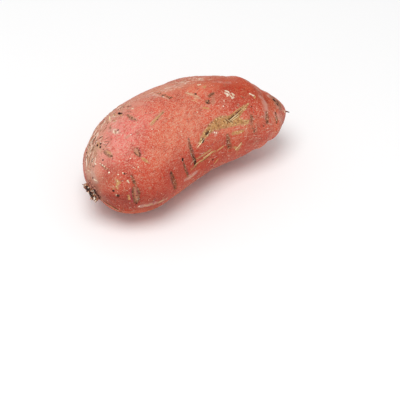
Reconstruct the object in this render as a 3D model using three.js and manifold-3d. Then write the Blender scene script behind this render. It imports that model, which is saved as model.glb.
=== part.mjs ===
// A sweet potato: one plump, slightly bent storage root lying on a small flat spot.
// The broken stalk with its torn fibres is at the -X end and the thin tail rootlet at the +X end.
// Millimetres, +Z up. X runs along the root, Y across it, and the surface it lies on is at Z = 0.

import * as THREE from "three";
import { mergeVertices } from "three/addons/utils/BufferGeometryUtils.js";
import Module from "manifold-3d";

const wasm = await Module();
wasm.setup();

// Driving dimensions of the body
const BODY_LENGTH = 163; // from the stalk end's skin to the tail end's skin
const PLACE = [-79.4, 0.5, 0.4]; // moves the whole root so that it is centred on the origin

// The body's sections. at: distance from the stalk end. width and height: full size across Y and Z.
// side and lift: where the section's centre is on Y and Z.
const SECTIONS = [
  { at: 0, width: 0, height: 0, side: -11, lift: 33.9 },
  { at: 2, width: 28, height: 26, side: -10.6, lift: 34.1 },
  { at: 8, width: 49.5, height: 46, side: -9.3, lift: 34.2 },
  { at: 20, width: 68, height: 63.5, side: -7.8, lift: 35.2 },
  { at: 39, width: 80.5, height: 74.5, side: -5.2, lift: 36.2 },
  { at: 59, width: 80.5, height: 75.5, side: 0, lift: 36.3 },
  { at: 79, width: 77.5, height: 72.5, side: 5, lift: 35.3 },
  { at: 99, width: 73.5, height: 69, side: 8, lift: 34.5 },
  { at: 119, width: 66.5, height: 63, side: 4, lift: 34.7 },
  { at: 137, width: 55.5, height: 53.5, side: -0.8, lift: 35 },
  { at: 149, width: 39, height: 38, side: -6, lift: 34.1 },
  { at: 159, width: 17.5, height: 17.5, side: -9, lift: 33.7 },
  { at: 163, width: 0, height: 0, side: -10, lift: 33.7 },
];

// How finely the body's skin is divided, along it and around it
const RINGS = 82;
const SIDES = 64;

// Dents and swellings of the skin. at: millimetres from the stalk end. around: degrees from +Y towards +Z.
// long and wide: half sizes. turn: degrees from along the root to around it. depth: below zero stands out.
const MARKS = [
  // Old root scars, which pull the skin in across the root
  { at: 20, around: 168, long: 12, wide: 4, turn: 84, depth: 1.4 },
  { at: 49, around: 176, long: 9, wide: 3.2, turn: 78, depth: 1.2 },
  { at: 62, around: 168, long: 9, wide: 3.2, turn: 76, depth: 1 },
  { at: 71.5, around: 159, long: 12, wide: 3.4, turn: 88, depth: 1.4 },
  { at: 103.5, around: 172, long: 8, wide: 3.4, turn: 90, depth: 1.2 },
  { at: 126, around: 145, long: 9, wide: 3.2, turn: 96, depth: 1 },
  { at: 137.5, around: 153, long: 7, wide: 3, turn: 96, depth: 1.2 },
  { at: 147, around: 153, long: 6, wide: 2.6, turn: 96, depth: 0.8 },
  { at: 71, around: 87, long: 8, wide: 3, turn: 70, depth: 1.2 },
  { at: 88, around: 101, long: 5, wide: 3, turn: 60, depth: 0.9 },
  { at: 38, around: 88, long: 6, wide: 3.2, turn: 60, depth: 1.2 },
  { at: 27.5, around: 126, long: 5, wide: 3.6, turn: 60, depth: 1.7 },
  { at: 8, around: 128, long: 8, wide: 3, turn: 40, depth: 1.2 },
  { at: 34, around: 66, long: 5, wide: 3, turn: 60, depth: 1 },
  { at: 98.5, around: 116, long: 4, wide: 3.6, turn: 0, depth: 0.8 },
  { at: 30, around: 300, long: 9, wide: 3.4, turn: 86, depth: 1.3 },
  { at: 64, around: 318, long: 10, wide: 3.4, turn: 92, depth: 1.4 },
  { at: 93, around: 352, long: 8, wide: 3.2, turn: 84, depth: 1.2 },
  { at: 118, around: 20, long: 9, wide: 3.2, turn: 94, depth: 1.2 },
  { at: 50, around: 20, long: 8, wide: 3.2, turn: 88, depth: 1.2 },
  { at: 82, around: 42, long: 7, wide: 3, turn: 80, depth: 1 },
  { at: 24, around: 350, long: 8, wide: 3.4, turn: 92, depth: 1.3 },
  { at: 112, around: 300, long: 8, wide: 3.2, turn: 88, depth: 1.2 },
  { at: 48, around: 232, long: 8, wide: 3.2, turn: 86, depth: 1.2 },
  { at: 94, around: 222, long: 8, wide: 3.2, turn: 92, depth: 1.2 },
  { at: 132, around: 232, long: 7, wide: 3, turn: 90, depth: 1 },
  // The big corky graze and the worn patch by the tail
  { at: 104, around: 146, long: 19, wide: 6, turn: -14, depth: 0.7 },
  { at: 152.5, around: 121, long: 6, wide: 4, turn: 20, depth: -0.8 },
  // The hollow under the stalk and a notch at the shoulder of the tail end
  { at: 5, around: 243, long: 11, wide: 6, turn: 90, depth: 2.1 },
  { at: 148.5, around: 75, long: 9, wide: 4.5, turn: 90, depth: 1.6 },
  // Broad hollows and swellings
  { at: 13.5, around: 23, long: 8, wide: 7, turn: 0, depth: 1.4 },
  { at: 12, around: 100, long: 15, wide: 12, turn: 0, depth: -0.9 },
  { at: 22, around: 222, long: 20, wide: 12, turn: 0, depth: -0.8 },
  { at: 20, around: 140, long: 15, wide: 9, turn: 0, depth: -0.8 },
  { at: 60, around: 120, long: 26, wide: 14, turn: 10, depth: -0.7 },
  { at: 78, around: 70, long: 30, wide: 9, turn: 0, depth: 0.9 },
  { at: 112, around: 95, long: 18, wide: 13, turn: 0, depth: -0.8 },
  { at: 88, around: 178, long: 20, wide: 10, turn: 0, depth: 0.6 },
  { at: 44, around: 330, long: 22, wide: 14, turn: 0, depth: -0.9 },
  { at: 100, around: 335, long: 24, wide: 12, turn: 0, depth: 0.9 },
  { at: 130, around: 300, long: 14, wide: 12, turn: 0, depth: -0.8 },
  // The belly's low side, which the root lies on
  { at: 97, around: 256, long: 30, wide: 14, turn: 0, depth: -3 },
];

// Growth bands round the tail end. lean: how far a band moves along the root as it goes round.
const BANDS = [
  { at: 128, width: 4, rise: -0.5, lean: 2 },
  { at: 134, width: 3.4, rise: 0.6, lean: 2.5 },
  { at: 141, width: 3, rise: -0.6, lean: 3 },
  { at: 146.5, width: 3, rise: 0.5, lean: 2.5 },
  { at: 153, width: 2.6, rise: -0.5, lean: 2 },
];
const BAND_TOP = THREE.MathUtils.degToRad(130); // where round the root a band lies nearest to the tail

// The flat spot that the root lies on: its corners on X and Y, and how far it stands proud of the skin round it
const REST_SPOT = {
  corners: [
    [-37, -6.5],
    [-6, -6.3],
    [25, 0.5],
    [8, 15],
    [-20, 10],
  ],
  proud: 0.12,
};

// The skin gathers into shallow folds where the stalk leaves it
const FOLDS = { count: 7, depth: 0.55, reach: 13, start: 8 };
// A thin rolled fold of skin under the stalk end
const LOW_FOLD = { at: 12, around: 206, long: 13, wide: 1.6, turn: 24, depth: -0.7 };

// The broken stalk
const STALK = {
  base: new THREE.Vector3(1.5, -13.2, 27.8), // on the skin, as at, side and lift
  lean: new THREE.Vector3(-1, 0, -0.385), // the way it points
  sides: 26,
};
// The stalk's outline from its sunk root, over the neck and the torn rim, into its hollow. radius and height.
const STALK_OUTLINE = [
  { radius: 7, height: -5 },
  { radius: 8.2, height: -1 },
  { radius: 7.2, height: 0.8 },
  { radius: 7.3, height: 2 },
  { radius: 8, height: 3.3 },
  { radius: 7.4, height: 4.4 },
  { radius: 5.8, height: 3.8 },
  { radius: 3.4, height: 2.7 },
];
const STALK_HOLLOW = 2.3; // height of the middle of the broken face

// Fibres torn off at the stalk's rim: where round it, how far they stand out, and how thick they start
const FIBRES = { count: 15, seed: 11, least: 1.1, spread: 2, radius: 0.8, sides: 5, steps: 4 };

// The thin rootlet at the tail
const TAIL_ROOTLET = {
  path: [
    [156, -10, 34.8],
    [161.5, -12.3, 33.8],
    [163.6, -13.1, 33.1],
    [165.3, -13.8, 32.1],
  ],
  radius: 1,
  sides: 6,
  steps: 6,
};

const SKIN_COLOUR = 0xc4634a;
const SKIN_ROUGHNESS = 0.62;

// A value that one of the sections' sizes takes at an angle of 0 to PI along the body.
// The sections are spread by that angle, which gives both ends their round caps.
const sectionAngles = SECTIONS.map((s) => Math.acos(1 - (2 * s.at) / BODY_LENGTH));

function slopes(values) {
  const last = values.length - 1;
  const rise = (i) => (values[i + 1] - values[i]) / (sectionAngles[i + 1] - sectionAngles[i]);
  return values.map((_, i) => {
    if (i === 0) return rise(0);
    if (i === last) return rise(last - 1);
    const before = sectionAngles[i] - sectionAngles[i - 1];
    const after = sectionAngles[i + 1] - sectionAngles[i];
    return (rise(i - 1) * after + rise(i) * before) / (before + after);
  });
}

function curveOf(size) {
  const values = SECTIONS.map((s) => s[size]);
  const slope = slopes(values);
  return (angle) => {
    let i = 0;
    while (i < SECTIONS.length - 2 && angle > sectionAngles[i + 1]) i++;
    const step = sectionAngles[i + 1] - sectionAngles[i];
    const u = (angle - sectionAngles[i]) / step;
    const start = (1 + 2 * u) * (1 - u) ** 2;
    const leave = u * (1 - u) ** 2 * step;
    const end = u * u * (3 - 2 * u);
    const arrive = u * u * (u - 1) * step;
    return start * values[i] + leave * slope[i] + end * values[i + 1] + arrive * slope[i + 1];
  };
}

const widthAt = curveOf("width");
const heightAt = curveOf("height");
const sideAt = curveOf("side");
const liftAt = curveOf("lift");

// The root isn't quite round: its section has two or three very soft corners that turn along it
function outOfRound(along, around) {
  const two = 0.012 * Math.cos(2 * around + 0.6 + 0.8 * Math.sin(along));
  const three = 0.012 * Math.cos(3 * around + 1.1 + (1.5 * along) / Math.PI);
  return 1 + two + three;
}

// A point of the smooth body, from two angles: along it from 0 to PI, and around it from +Y towards +Z
function bodyPoint(along, around) {
  const k = outOfRound(along, around) / 2;
  return new THREE.Vector3(
    (BODY_LENGTH / 2) * (1 - Math.cos(along)),
    sideAt(along) + widthAt(along) * k * Math.cos(around),
    liftAt(along) + heightAt(along) * k * Math.sin(around),
  );
}

// The smooth body's two tangents and its outward normal at a point
function bodyFrame(along, around) {
  const step = 1e-3;
  const clear = THREE.MathUtils.clamp(along, 2 * step, Math.PI - 2 * step);
  const ahead = bodyPoint(clear + step, around).sub(bodyPoint(clear - step, around)).normalize();
  const round = bodyPoint(clear, around + step).sub(bodyPoint(clear, around - step)).normalize();
  const normal = new THREE.Vector3().crossVectors(ahead, round).normalize().negate();
  return { ahead, round, normal };
}

// A mark, placed on the body, with its own axes on the skin
function placed(mark) {
  const along = Math.acos(1 - (2 * mark.at) / BODY_LENGTH);
  const around = THREE.MathUtils.degToRad(mark.around);
  const turn = THREE.MathUtils.degToRad(mark.turn);
  const { ahead, round } = bodyFrame(along, around);
  const lengthways = ahead.clone().multiplyScalar(Math.cos(turn)).addScaledVector(round, Math.sin(turn));
  const sideways = round.clone().multiplyScalar(Math.cos(turn)).addScaledVector(ahead, -Math.sin(turn));
  return { ...mark, centre: bodyPoint(along, around), lengthways, sideways };
}

const placedMarks = [...MARKS, LOW_FOLD].map(placed);

// How far the marks push a point of the skin in
function markDepth(point) {
  let depth = 0;
  for (const mark of placedMarks) {
    const from = point.clone().sub(mark.centre);
    const far = from.lengthSq();
    if (far > (3 * mark.long) ** 2) continue;
    const u = from.dot(mark.lengthways);
    const v = from.dot(mark.sideways);
    const off = Math.max(0, far - u * u - v * v);
    const falloff = (u * u + off) / mark.long ** 2 + (v * v) / mark.wide ** 2;
    depth += mark.depth * Math.exp(-falloff);
  }
  return depth;
}

// How far the growth bands lift the skin
function bandRise(point, around) {
  let rise = 0;
  for (const band of BANDS) {
    const middle = band.at + band.lean * Math.cos(around - BAND_TOP);
    rise += band.rise * Math.exp(-(((point.x - middle) / band.width) ** 2));
  }
  return rise;
}

// How far the folds round the stalk lift the skin
function foldRise(point) {
  const from = point.clone().sub(STALK.base);
  const far = from.length();
  const round = Math.atan2(from.z, from.y);
  const fade = Math.exp(-(((far - FOLDS.start) / FOLDS.reach) ** 2));
  return FOLDS.depth * fade * Math.cos(FOLDS.count * round);
}

function skinPoint(along, around) {
  const point = bodyPoint(along, around);
  const { normal } = bodyFrame(along, around);
  const rise = bandRise(point, around) + foldRise(point) - markDepth(point);
  return point.addScaledVector(normal, rise);
}

// Rows of points, each a closed loop, joined into one closed surface with a point at either end
function closedSurface(start, loops, end) {
  const points = [start, ...loops.flat(), end];
  const sides = loops[0].length;
  const index = [];
  const at = (row, side) => 1 + row * sides + (side % sides);
  for (let side = 0; side < sides; side++) {
    index.push(0, at(0, side + 1), at(0, side));
    for (let row = 0; row < loops.length - 1; row++) {
      const [a, b] = [at(row, side), at(row, side + 1)];
      const [c, d] = [at(row + 1, side), at(row + 1, side + 1)];
      index.push(a, b, c, b, d, c);
    }
    index.push(points.length - 1, at(loops.length - 1, side), at(loops.length - 1, side + 1));
  }
  const geometry = new THREE.BufferGeometry();
  geometry.setAttribute("position", new THREE.Float32BufferAttribute(points.flatMap((p) => p.toArray()), 3));
  geometry.setIndex(index);
  return geometry;
}

function bodyGeometry() {
  const loops = [];
  for (let ring = 1; ring < RINGS; ring++) {
    const along = (Math.PI * ring) / RINGS;
    loops.push(Array.from({ length: SIDES }, (_, side) => skinPoint(along, (2 * Math.PI * side) / SIDES)));
  }
  return closedSurface(bodyPoint(0, 0), loops, bodyPoint(Math.PI, 0));
}

// The stalk's torn rim is uneven: it bulges and dips as it goes round
function stalkLoop({ radius, height }, row) {
  const torn = THREE.MathUtils.clamp(row / (STALK_OUTLINE.length - 3), 0, 1);
  return Array.from({ length: STALK.sides }, (_, side) => {
    const round = (2 * Math.PI * side) / STALK.sides;
    const bulge = 1 + 0.05 * Math.sin(3 * round + 0.8) + torn * 0.07 * Math.sin(7 * round);
    const dip = torn * (0.7 * Math.sin(4 * round + 2) + 0.5 * Math.sin(9 * round));
    const far = radius * bulge;
    return new THREE.Vector3(far * Math.cos(round), far * Math.sin(round), height + dip);
  });
}

function stalkGeometry() {
  const loops = STALK_OUTLINE.map(stalkLoop);
  const sunk = new THREE.Vector3(0, 0, STALK_OUTLINE[0].height);
  const middle = new THREE.Vector3(0, 0, STALK_HOLLOW);
  return closedSurface(sunk, loops, middle);
}

// A root hair: a tube along a curve that thins to its tip
function rootletGeometry(path, radius, sides, steps) {
  const curve = new THREE.CatmullRomCurve3(path);
  const frames = curve.computeFrenetFrames(steps);
  const loops = [];
  for (let step = 0; step <= steps; step++) {
    const centre = curve.getPointAt(step / steps);
    const thick = radius * (1 - (0.72 * step) / steps);
    loops.push(
      Array.from({ length: sides }, (_, side) => {
        const round = (2 * Math.PI * side) / sides;
        return centre
          .clone()
          .addScaledVector(frames.normals[step], thick * Math.cos(round))
          .addScaledVector(frames.binormals[step], thick * Math.sin(round));
      }),
    );
  }
  return closedSurface(path[0].clone(), loops, path.at(-1).clone());
}

// A small repeatable random number source
function randomFrom(seed) {
  let state = seed;
  return () => {
    state = (state * 16807) % 2147483647;
    return state / 2147483647;
  };
}

// The torn fibres, in the stalk's own frame: they start inside its rim and curl outwards
function fibreGeometries() {
  const random = randomFrom(FIBRES.seed);
  const rim = STALK_OUTLINE[4];
  return Array.from({ length: FIBRES.count }, (_, i) => {
    const round = (2 * Math.PI * (i + 0.7 * random())) / FIBRES.count;
    const reach = FIBRES.least + FIBRES.spread * random();
    const curl = random() - 0.5;
    const out = (radius, height, turn) =>
      new THREE.Vector3(radius * Math.cos(round + turn), radius * Math.sin(round + turn), height);
    const path = [
      out(rim.radius - 3, rim.height - 2.4, 0),
      out(rim.radius - 0.4, rim.height - 0.2, 0),
      out(rim.radius + 0.45 * reach, rim.height + 0.5 * reach, 0.12 * curl),
      out(rim.radius + 0.7 * reach, rim.height + (0.7 + 0.4 * curl) * reach, 0.3 * curl),
    ];
    return rootletGeometry(path, FIBRES.radius, FIBRES.sides, FIBRES.steps);
  });
}

function intoBody(geometry) {
  const turn = new THREE.Quaternion().setFromUnitVectors(
    new THREE.Vector3(0, 0, 1),
    STALK.lean.clone().normalize(),
  );
  return geometry.applyQuaternion(turn).translate(...STALK.base.toArray());
}

function tailGeometry() {
  const path = TAIL_ROOTLET.path.map((p) => new THREE.Vector3(...p));
  return rootletGeometry(path, TAIL_ROOTLET.radius, TAIL_ROOTLET.sides, TAIL_ROOTLET.steps);
}

function solidOf(geometry) {
  const plain = geometry.clone();
  plain.deleteAttribute("normal");
  plain.deleteAttribute("uv");
  const merged = mergeVertices(plain, 1e-4);
  return new wasm.Manifold(
    new wasm.Mesh({
      numProp: 3,
      vertProperties: new Float32Array(merged.attributes.position.array),
      triVerts: new Uint32Array(merged.index.array),
    }),
  );
}

function geometryOf(solid) {
  const mesh = solid.getMesh();
  const geometry = new THREE.BufferGeometry();
  geometry.setAttribute("position", new THREE.Float32BufferAttribute(mesh.vertProperties, 3));
  geometry.setIndex(new THREE.Uint32BufferAttribute(mesh.triVerts, 1));
  return geometry;
}

// What the root's belly is pressed flat by: all that is below the surface it lies on,
// and a thin layer above that surface everywhere but on the flat spot
function underSurface() {
  const [size, deep] = [400, 40];
  const { corners, proud } = REST_SPOT;
  const outline = new THREE.Shape(corners.map(([x, y]) => new THREE.Vector2(x, y)));
  const spot = new THREE.ExtrudeGeometry(outline, { depth: 4 * proud, bevelEnabled: false });
  const layer = solidOf(new THREE.BoxGeometry(size, size, 2 * proud));
  const below = solidOf(new THREE.BoxGeometry(size, size, deep).translate(0, 0, -deep / 2));
  return below.add(layer.subtract(solidOf(spot.translate(0, 0, -2 * proud))));
}

function sweetPotatoGeometry() {
  const stalk = [stalkGeometry(), ...fibreGeometries()].map(intoBody);
  const pieces = [bodyGeometry(), ...stalk, tailGeometry()];
  const whole = pieces
    .map((piece) => solidOf(piece.translate(...PLACE)))
    .reduce((joined, piece) => joined.add(piece))
    .subtract(underSurface());
  const geometry = geometryOf(whole);
  geometry.computeVertexNormals();
  return geometry;
}

const sweetPotato = new THREE.Mesh(
  sweetPotatoGeometry(),
  new THREE.MeshStandardMaterial({ color: SKIN_COLOUR, roughness: SKIN_ROUGHNESS, metalness: 0 }),
);
sweetPotato.name = "sweet_potato";

const root = new THREE.Group();
root.add(sweetPotato);

export default root;
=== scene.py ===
"""A sweet potato: its mottled skin with root scars and corky grazes, its broken stalk stub and its tail rootlet.

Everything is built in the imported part's frame, with Z up and the root lying along X. Sizes are worked out in
millimetres and become metres where a mesh is made. A place on the skin is given by two numbers: at, the
millimetres from the stalk end, and around, the degrees from +Y towards +Z.
"""

import logging
import math
import random
from collections.abc import Iterable, Mapping, Sequence
from dataclasses import dataclass
from enum import Enum
from typing import Any

import bpy
import numpy as np
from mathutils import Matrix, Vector, noise


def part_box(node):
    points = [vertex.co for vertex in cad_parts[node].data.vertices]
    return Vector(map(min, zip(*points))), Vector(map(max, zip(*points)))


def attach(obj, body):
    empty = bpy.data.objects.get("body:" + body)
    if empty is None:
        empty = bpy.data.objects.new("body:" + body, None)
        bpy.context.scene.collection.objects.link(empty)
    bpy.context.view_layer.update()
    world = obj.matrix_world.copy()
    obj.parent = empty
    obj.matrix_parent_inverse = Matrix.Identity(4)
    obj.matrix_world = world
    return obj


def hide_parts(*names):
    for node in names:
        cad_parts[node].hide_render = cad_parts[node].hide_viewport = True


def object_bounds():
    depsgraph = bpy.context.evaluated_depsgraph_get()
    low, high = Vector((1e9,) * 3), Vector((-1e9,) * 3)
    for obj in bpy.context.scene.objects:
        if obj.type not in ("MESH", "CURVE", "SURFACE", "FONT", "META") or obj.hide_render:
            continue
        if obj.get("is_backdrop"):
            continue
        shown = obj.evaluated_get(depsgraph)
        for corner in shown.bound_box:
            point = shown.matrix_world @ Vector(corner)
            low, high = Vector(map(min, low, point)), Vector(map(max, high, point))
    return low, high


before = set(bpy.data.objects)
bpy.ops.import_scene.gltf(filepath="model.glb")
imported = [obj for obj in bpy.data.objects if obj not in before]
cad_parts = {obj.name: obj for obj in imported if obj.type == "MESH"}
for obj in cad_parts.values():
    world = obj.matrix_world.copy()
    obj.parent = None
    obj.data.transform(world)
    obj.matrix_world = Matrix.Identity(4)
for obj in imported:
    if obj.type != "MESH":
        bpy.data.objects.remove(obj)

log = logging.getLogger("sweet_potato")

BODY = "root"
NODE = "sweet_potato"
BAKE_MAP = "OFBake"
MM = 0.001
MAP_EDGE = 0.004
TINY = 1e-9

Array = np.ndarray
Colour = tuple[float, float, float, float]
# Places on the skin, each as at, around, a half width and a shade
Scatter = list[tuple[float, float, float, float]]


def tint(code: str) -> Colour:
    """Turns a screen colour into the linear one that shaders work in.

    Args:
        code: The colour as six hexadecimal digits.

    Returns:
        Its linear red, green and blue, and an alpha of 1.
    """
    shares = [int(code[i : i + 2], 16) / 255 for i in (0, 2, 4)]
    linear = [s / 12.92 if s <= 0.04045 else ((s + 0.055) / 1.055) ** 2.4 for s in shares]
    return (linear[0], linear[1], linear[2], 1.0)


class Wire:
    """One value in a material's nodes, with the arithmetic that shader maths is written in."""

    def __init__(self, board: "Board", socket: bpy.types.NodeSocket) -> None:
        """Wraps an output socket of the board's nodes."""
        self.board = board
        self.socket = socket

    def __add__(self, other: "Wire | float") -> "Wire":
        """Adds a value."""
        return self.board.maths("ADD", self, other)

    __radd__ = __add__

    def __sub__(self, other: "Wire | float") -> "Wire":
        """Takes a value away."""
        return self.board.maths("SUBTRACT", self, other)

    def __rsub__(self, other: float) -> "Wire":
        """Takes this away from a number."""
        return self.board.maths("SUBTRACT", other, self)

    def __mul__(self, other: "Wire | float") -> "Wire":
        """Multiplies by a value."""
        return self.board.maths("MULTIPLY", self, other)

    __rmul__ = __mul__

    def __truediv__(self, other: "Wire | float") -> "Wire":
        """Divides by a value."""
        return self.board.maths("DIVIDE", self, other)

    def __rtruediv__(self, other: float) -> "Wire":
        """Divides a number by this."""
        return self.board.maths("DIVIDE", other, self)

    def __pow__(self, power: float) -> "Wire":
        """Raises to a power."""
        return self.board.maths("POWER", self, power)

    def at_most(self, other: "Wire | float") -> "Wire":
        """Keeps the smaller of the two."""
        return self.board.maths("MINIMUM", self, other)

    def at_least(self, other: "Wire | float") -> "Wire":
        """Keeps the larger of the two."""
        return self.board.maths("MAXIMUM", self, other)

    def between(self, low: float, high: float) -> "Wire":
        """Rises softly from 0 at low to 1 at high, or falls if low is the larger.

        Args:
            low: The value that gives 0.
            high: The value that gives 1.

        Returns:
            The eased share.
        """
        node = self.board.node(
            "ShaderNodeMapRange",
            {"interpolation_type": "SMOOTHSTEP"},
            {"Value": self, "From Min": low, "From Max": high},
        )
        return Wire(self.board, node.outputs["Result"])


class Board:
    """A material's node tree and the ways in which its nodes are added."""

    def __init__(self, name: str) -> None:
        """Starts an empty material.

        Args:
            name: Its name.
        """
        self.material = bpy.data.materials.new(name)
        self.material.use_nodes = True
        self.tree = self.material.node_tree
        self.tree.nodes.clear()

    def node(
        self,
        kind: str,
        settings: Mapping[str, Any] | None = None,
        sockets: Mapping[str, "Wire | float | Sequence[float]"] | None = None,
    ) -> bpy.types.Node:
        """Adds a node.

        Args:
            kind: The node's type.
            settings: Its properties, set before its sockets. A ramp's stops are a list of places and colours.
            sockets: Its inputs by identifier, or else by name, each a value or a wire to link.

        Returns:
            The node.
        """
        node = self.tree.nodes.new(kind)
        for name, value in (settings or {}).items():
            if name == "stops":
                self._stops(node, value)
            else:
                setattr(node, name, value)
        for name, value in (sockets or {}).items():
            named = [s for s in node.inputs if s.identifier == name] or [s for s in node.inputs if s.name == name]
            if isinstance(value, Wire):
                self.tree.links.new(value.socket, named[0])
            else:
                named[0].default_value = value
        return node

    @staticmethod
    def _stops(node: bpy.types.Node, stops: Sequence[tuple[float, str]]) -> None:
        """Sets a ramp's stops.

        Args:
            node: The ramp.
            stops: Their places and colours.
        """
        elements = node.color_ramp.elements
        while len(elements) < len(stops):
            elements.new(0.5)
        for element, (place, colour) in zip(elements, stops):
            element.position = place
            element.color = tint(colour)

    def maths(self, operation: str, first: "Wire | float", second: "Wire | float") -> Wire:
        """Adds a Math node and gives its value."""
        node = self.node("ShaderNodeMath", {"operation": operation}, {"Value": first, "Value_001": second})
        return Wire(self, node.outputs["Value"])

    def attribute(self, name: str, output: str = "Fac") -> Wire:
        """Reads what is stored on the mesh under a name."""
        node = self.node("ShaderNodeAttribute", {"attribute_type": "GEOMETRY", "attribute_name": name})
        return Wire(self, node.outputs[output])

    def stretched(self, vector: Wire, by: Sequence[float]) -> Wire:
        """Multiplies a vector's three parts."""
        node = self.node("ShaderNodeVectorMath", {"operation": "MULTIPLY"}, {"Vector": vector, "Vector_001": by})
        return Wire(self, node.outputs["Vector"])

    def noise(self, vector: Wire, scale: float, detail: float = 2.0, rough: float = 0.5, warp: float = 0.0) -> Wire:
        """Adds a cloudy pattern.

        Args:
            vector: Where it is read.
            scale: How many of its lumps there are to a unit of the vector.
            detail: How many finer layers it has.
            rough: How strong the finer layers are.
            warp: How far it is pulled about.

        Returns:
            Its value, from 0 to 1, mostly near 0.5.
        """
        sockets = {"Vector": vector, "Scale": scale, "Detail": detail, "Roughness": rough, "Distortion": warp}
        node = self.node("ShaderNodeTexNoise", {"noise_dimensions": "3D"}, sockets)
        return Wire(self, node.outputs["Fac"])

    def cells(self, vector: Wire, scale: float, feature: str = "F1", output: str = "Distance") -> Wire:
        """Adds a pattern of cells and gives one of its outputs."""
        node = self.node("ShaderNodeTexVoronoi", {"feature": feature}, {"Vector": vector, "Scale": scale})
        return Wire(self, node.outputs[output])

    def red_of(self, colour: Wire) -> Wire:
        """Takes a colour's red part, as a plain value."""
        node = self.node("ShaderNodeSeparateColor", None, {"Color": colour})
        return Wire(self, node.outputs["Red"])

    def mixed(self, first: "Wire | str", second: "Wire | str", share: "Wire | float", blend: str = "MIX") -> Wire:
        """Mixes two colours.

        Args:
            first: The colour at a share of 0.
            second: The colour at a share of 1.
            share: How much of the second there is.
            blend: How the second is laid on the first.

        Returns:
            The mixed colour.
        """
        first, second = (tint(colour) if isinstance(colour, str) else colour for colour in (first, second))
        node = self.node(
            "ShaderNodeMix",
            {"data_type": "RGBA", "blend_type": blend, "clamp_factor": True},
            {"Factor_Float": share, "A_Color": first, "B_Color": second},
        )
        return Wire(self, next(s for s in node.outputs if s.identifier == "Result_Color"))

    def layered(self, colour: "Wire | str", layers: Iterable[tuple[Any, ...]]) -> Wire:
        """Lays colours one on another.

        Args:
            colour: The lowest.
            layers: The others in order, each as its colour, its cover and, unless it is plainly mixed in, its blend.

        Returns:
            The colour that shows.
        """
        for layer in layers:
            colour = self.mixed(colour, *layer)
        return colour

    def ramp(self, value: Wire, stops: Sequence[tuple[float, str]]) -> Wire:
        """Turns a value into a colour between stops."""
        node = self.node("ShaderNodeValToRGB", {"stops": stops}, {"Fac": value})
        return Wire(self, node.outputs["Color"])

    def bumped(self, height: Wire, depth: float, strength: float = 1.0) -> Wire:
        """Turns a height into a bent surface direction.

        Args:
            height: The height, where 1 stands depth above 0.
            depth: That height in metres.
            strength: How much of it shows.

        Returns:
            The direction, for a shader's Normal.
        """
        node = self.node("ShaderNodeBump", None, {"Height": height, "Distance": depth, "Strength": strength})
        return Wire(self, node.outputs["Normal"])

    def finished(self, colour: Wire, rough: "Wire | float", normal: Wire, specular: float) -> bpy.types.Material:
        """Closes the material with a Principled shader.

        Args:
            colour: Its base colour.
            rough: Its roughness.
            normal: Its bent surface direction.
            specular: How strongly it shines, the same all over.

        Returns:
            The material.
        """
        sockets = {"Base Color": colour, "Roughness": rough, "Normal": normal, "Specular IOR Level": specular}
        shader = self.node("ShaderNodeBsdfPrincipled", None, sockets)
        out = self.node("ShaderNodeOutputMaterial")
        self.tree.links.new(shader.outputs["BSDF"], out.inputs["Surface"])
        return self.material


class Tissue(Enum):
    """The kinds of mark on the skin, each by the name that its share is stored under."""

    BARK = "bark"
    HOLE = "hole"
    ROSE = "rose"
    CORK = "cork"
    CREAM = "cream"
    ASH = "ash"
    HAZE = "haze"


BARK, HOLE, ROSE, CORK, CREAM, ASH, HAZE = Tissue


class Zone(Enum):
    """The broad tones of the skin, each by the name that its share is stored under. Some of them paint sheen, shade and
    bounced light.
    """

    # Partly a pinker skin and partly painted sheen of the soft light, on the upper side by the stalk end
    BLUSH = "blush"
    EMBER = "ember"
    # Painted shade on the lower side, under the belly's edge towards the camera and round the stalk, with a darker
    # maroon tone on the top towards the tail
    DUSK = "dusk"
    DUST = "dust"
    STRAW = "straw"
    SALMON = "salmon"
    # Painted warm light bounced up onto the underside and the belly's lower edge, with a warmer orange tone on the top
    # towards the tail
    RUST = "rust"
    COLLAR = "collar"
    TAIL = "tail"


@dataclass(frozen=True)
class Section:
    """One section of the body: where it is, its full width and height, and its centre on Y and Z."""

    at: float
    width: float
    height: float
    side: float
    lift: float


@dataclass(frozen=True)
class Dent:
    """A soft dent with its half sizes, turned from along the root to around it. Below zero it stands out."""

    at: float
    around: float
    long: float
    wide: float
    turn: float
    depth: float


@dataclass(frozen=True)
class Band:
    """A growth band round the tail end, which leans along the root as it goes round."""

    at: float
    width: float
    rise: float
    lean: float


@dataclass(frozen=True)
class Mark:
    """A small mark on the skin: a line of places with half widths, how far it stands out and how plain it is."""

    tissue: Tissue
    path: tuple[tuple[float, float, float], ...]
    rise: float
    amount: float


@dataclass(frozen=True)
class Tone:
    """A broad soft tone: its middle, its reach along the root in millimetres and round it in degrees."""

    zone: Zone
    at: float
    around: float
    long: float
    spread: float
    amount: float


SECTIONS = tuple(
    Section(*sizes)
    for sizes in (
        (0, 0, 0, -11, 33.9), (2, 28, 26, -10.6, 34.1), (8, 49.5, 46, -9.3, 34.2), (20, 68, 63.5, -7.8, 35.2),
        (39, 80.5, 74.5, -5.2, 36.2), (59, 80.5, 75.5, 0, 36.3), (79, 77.5, 72.5, 5, 35.3), (99, 73.5, 69, 8, 34.5),
        (119, 66.5, 63, 4, 34.7), (137, 55.5, 53.5, -0.8, 35), (149, 39, 38, -6, 34.1), (159, 17.5, 17.5, -9, 33.7),
        (163, 0, 0, -10, 33.7),
    )
)

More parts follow.
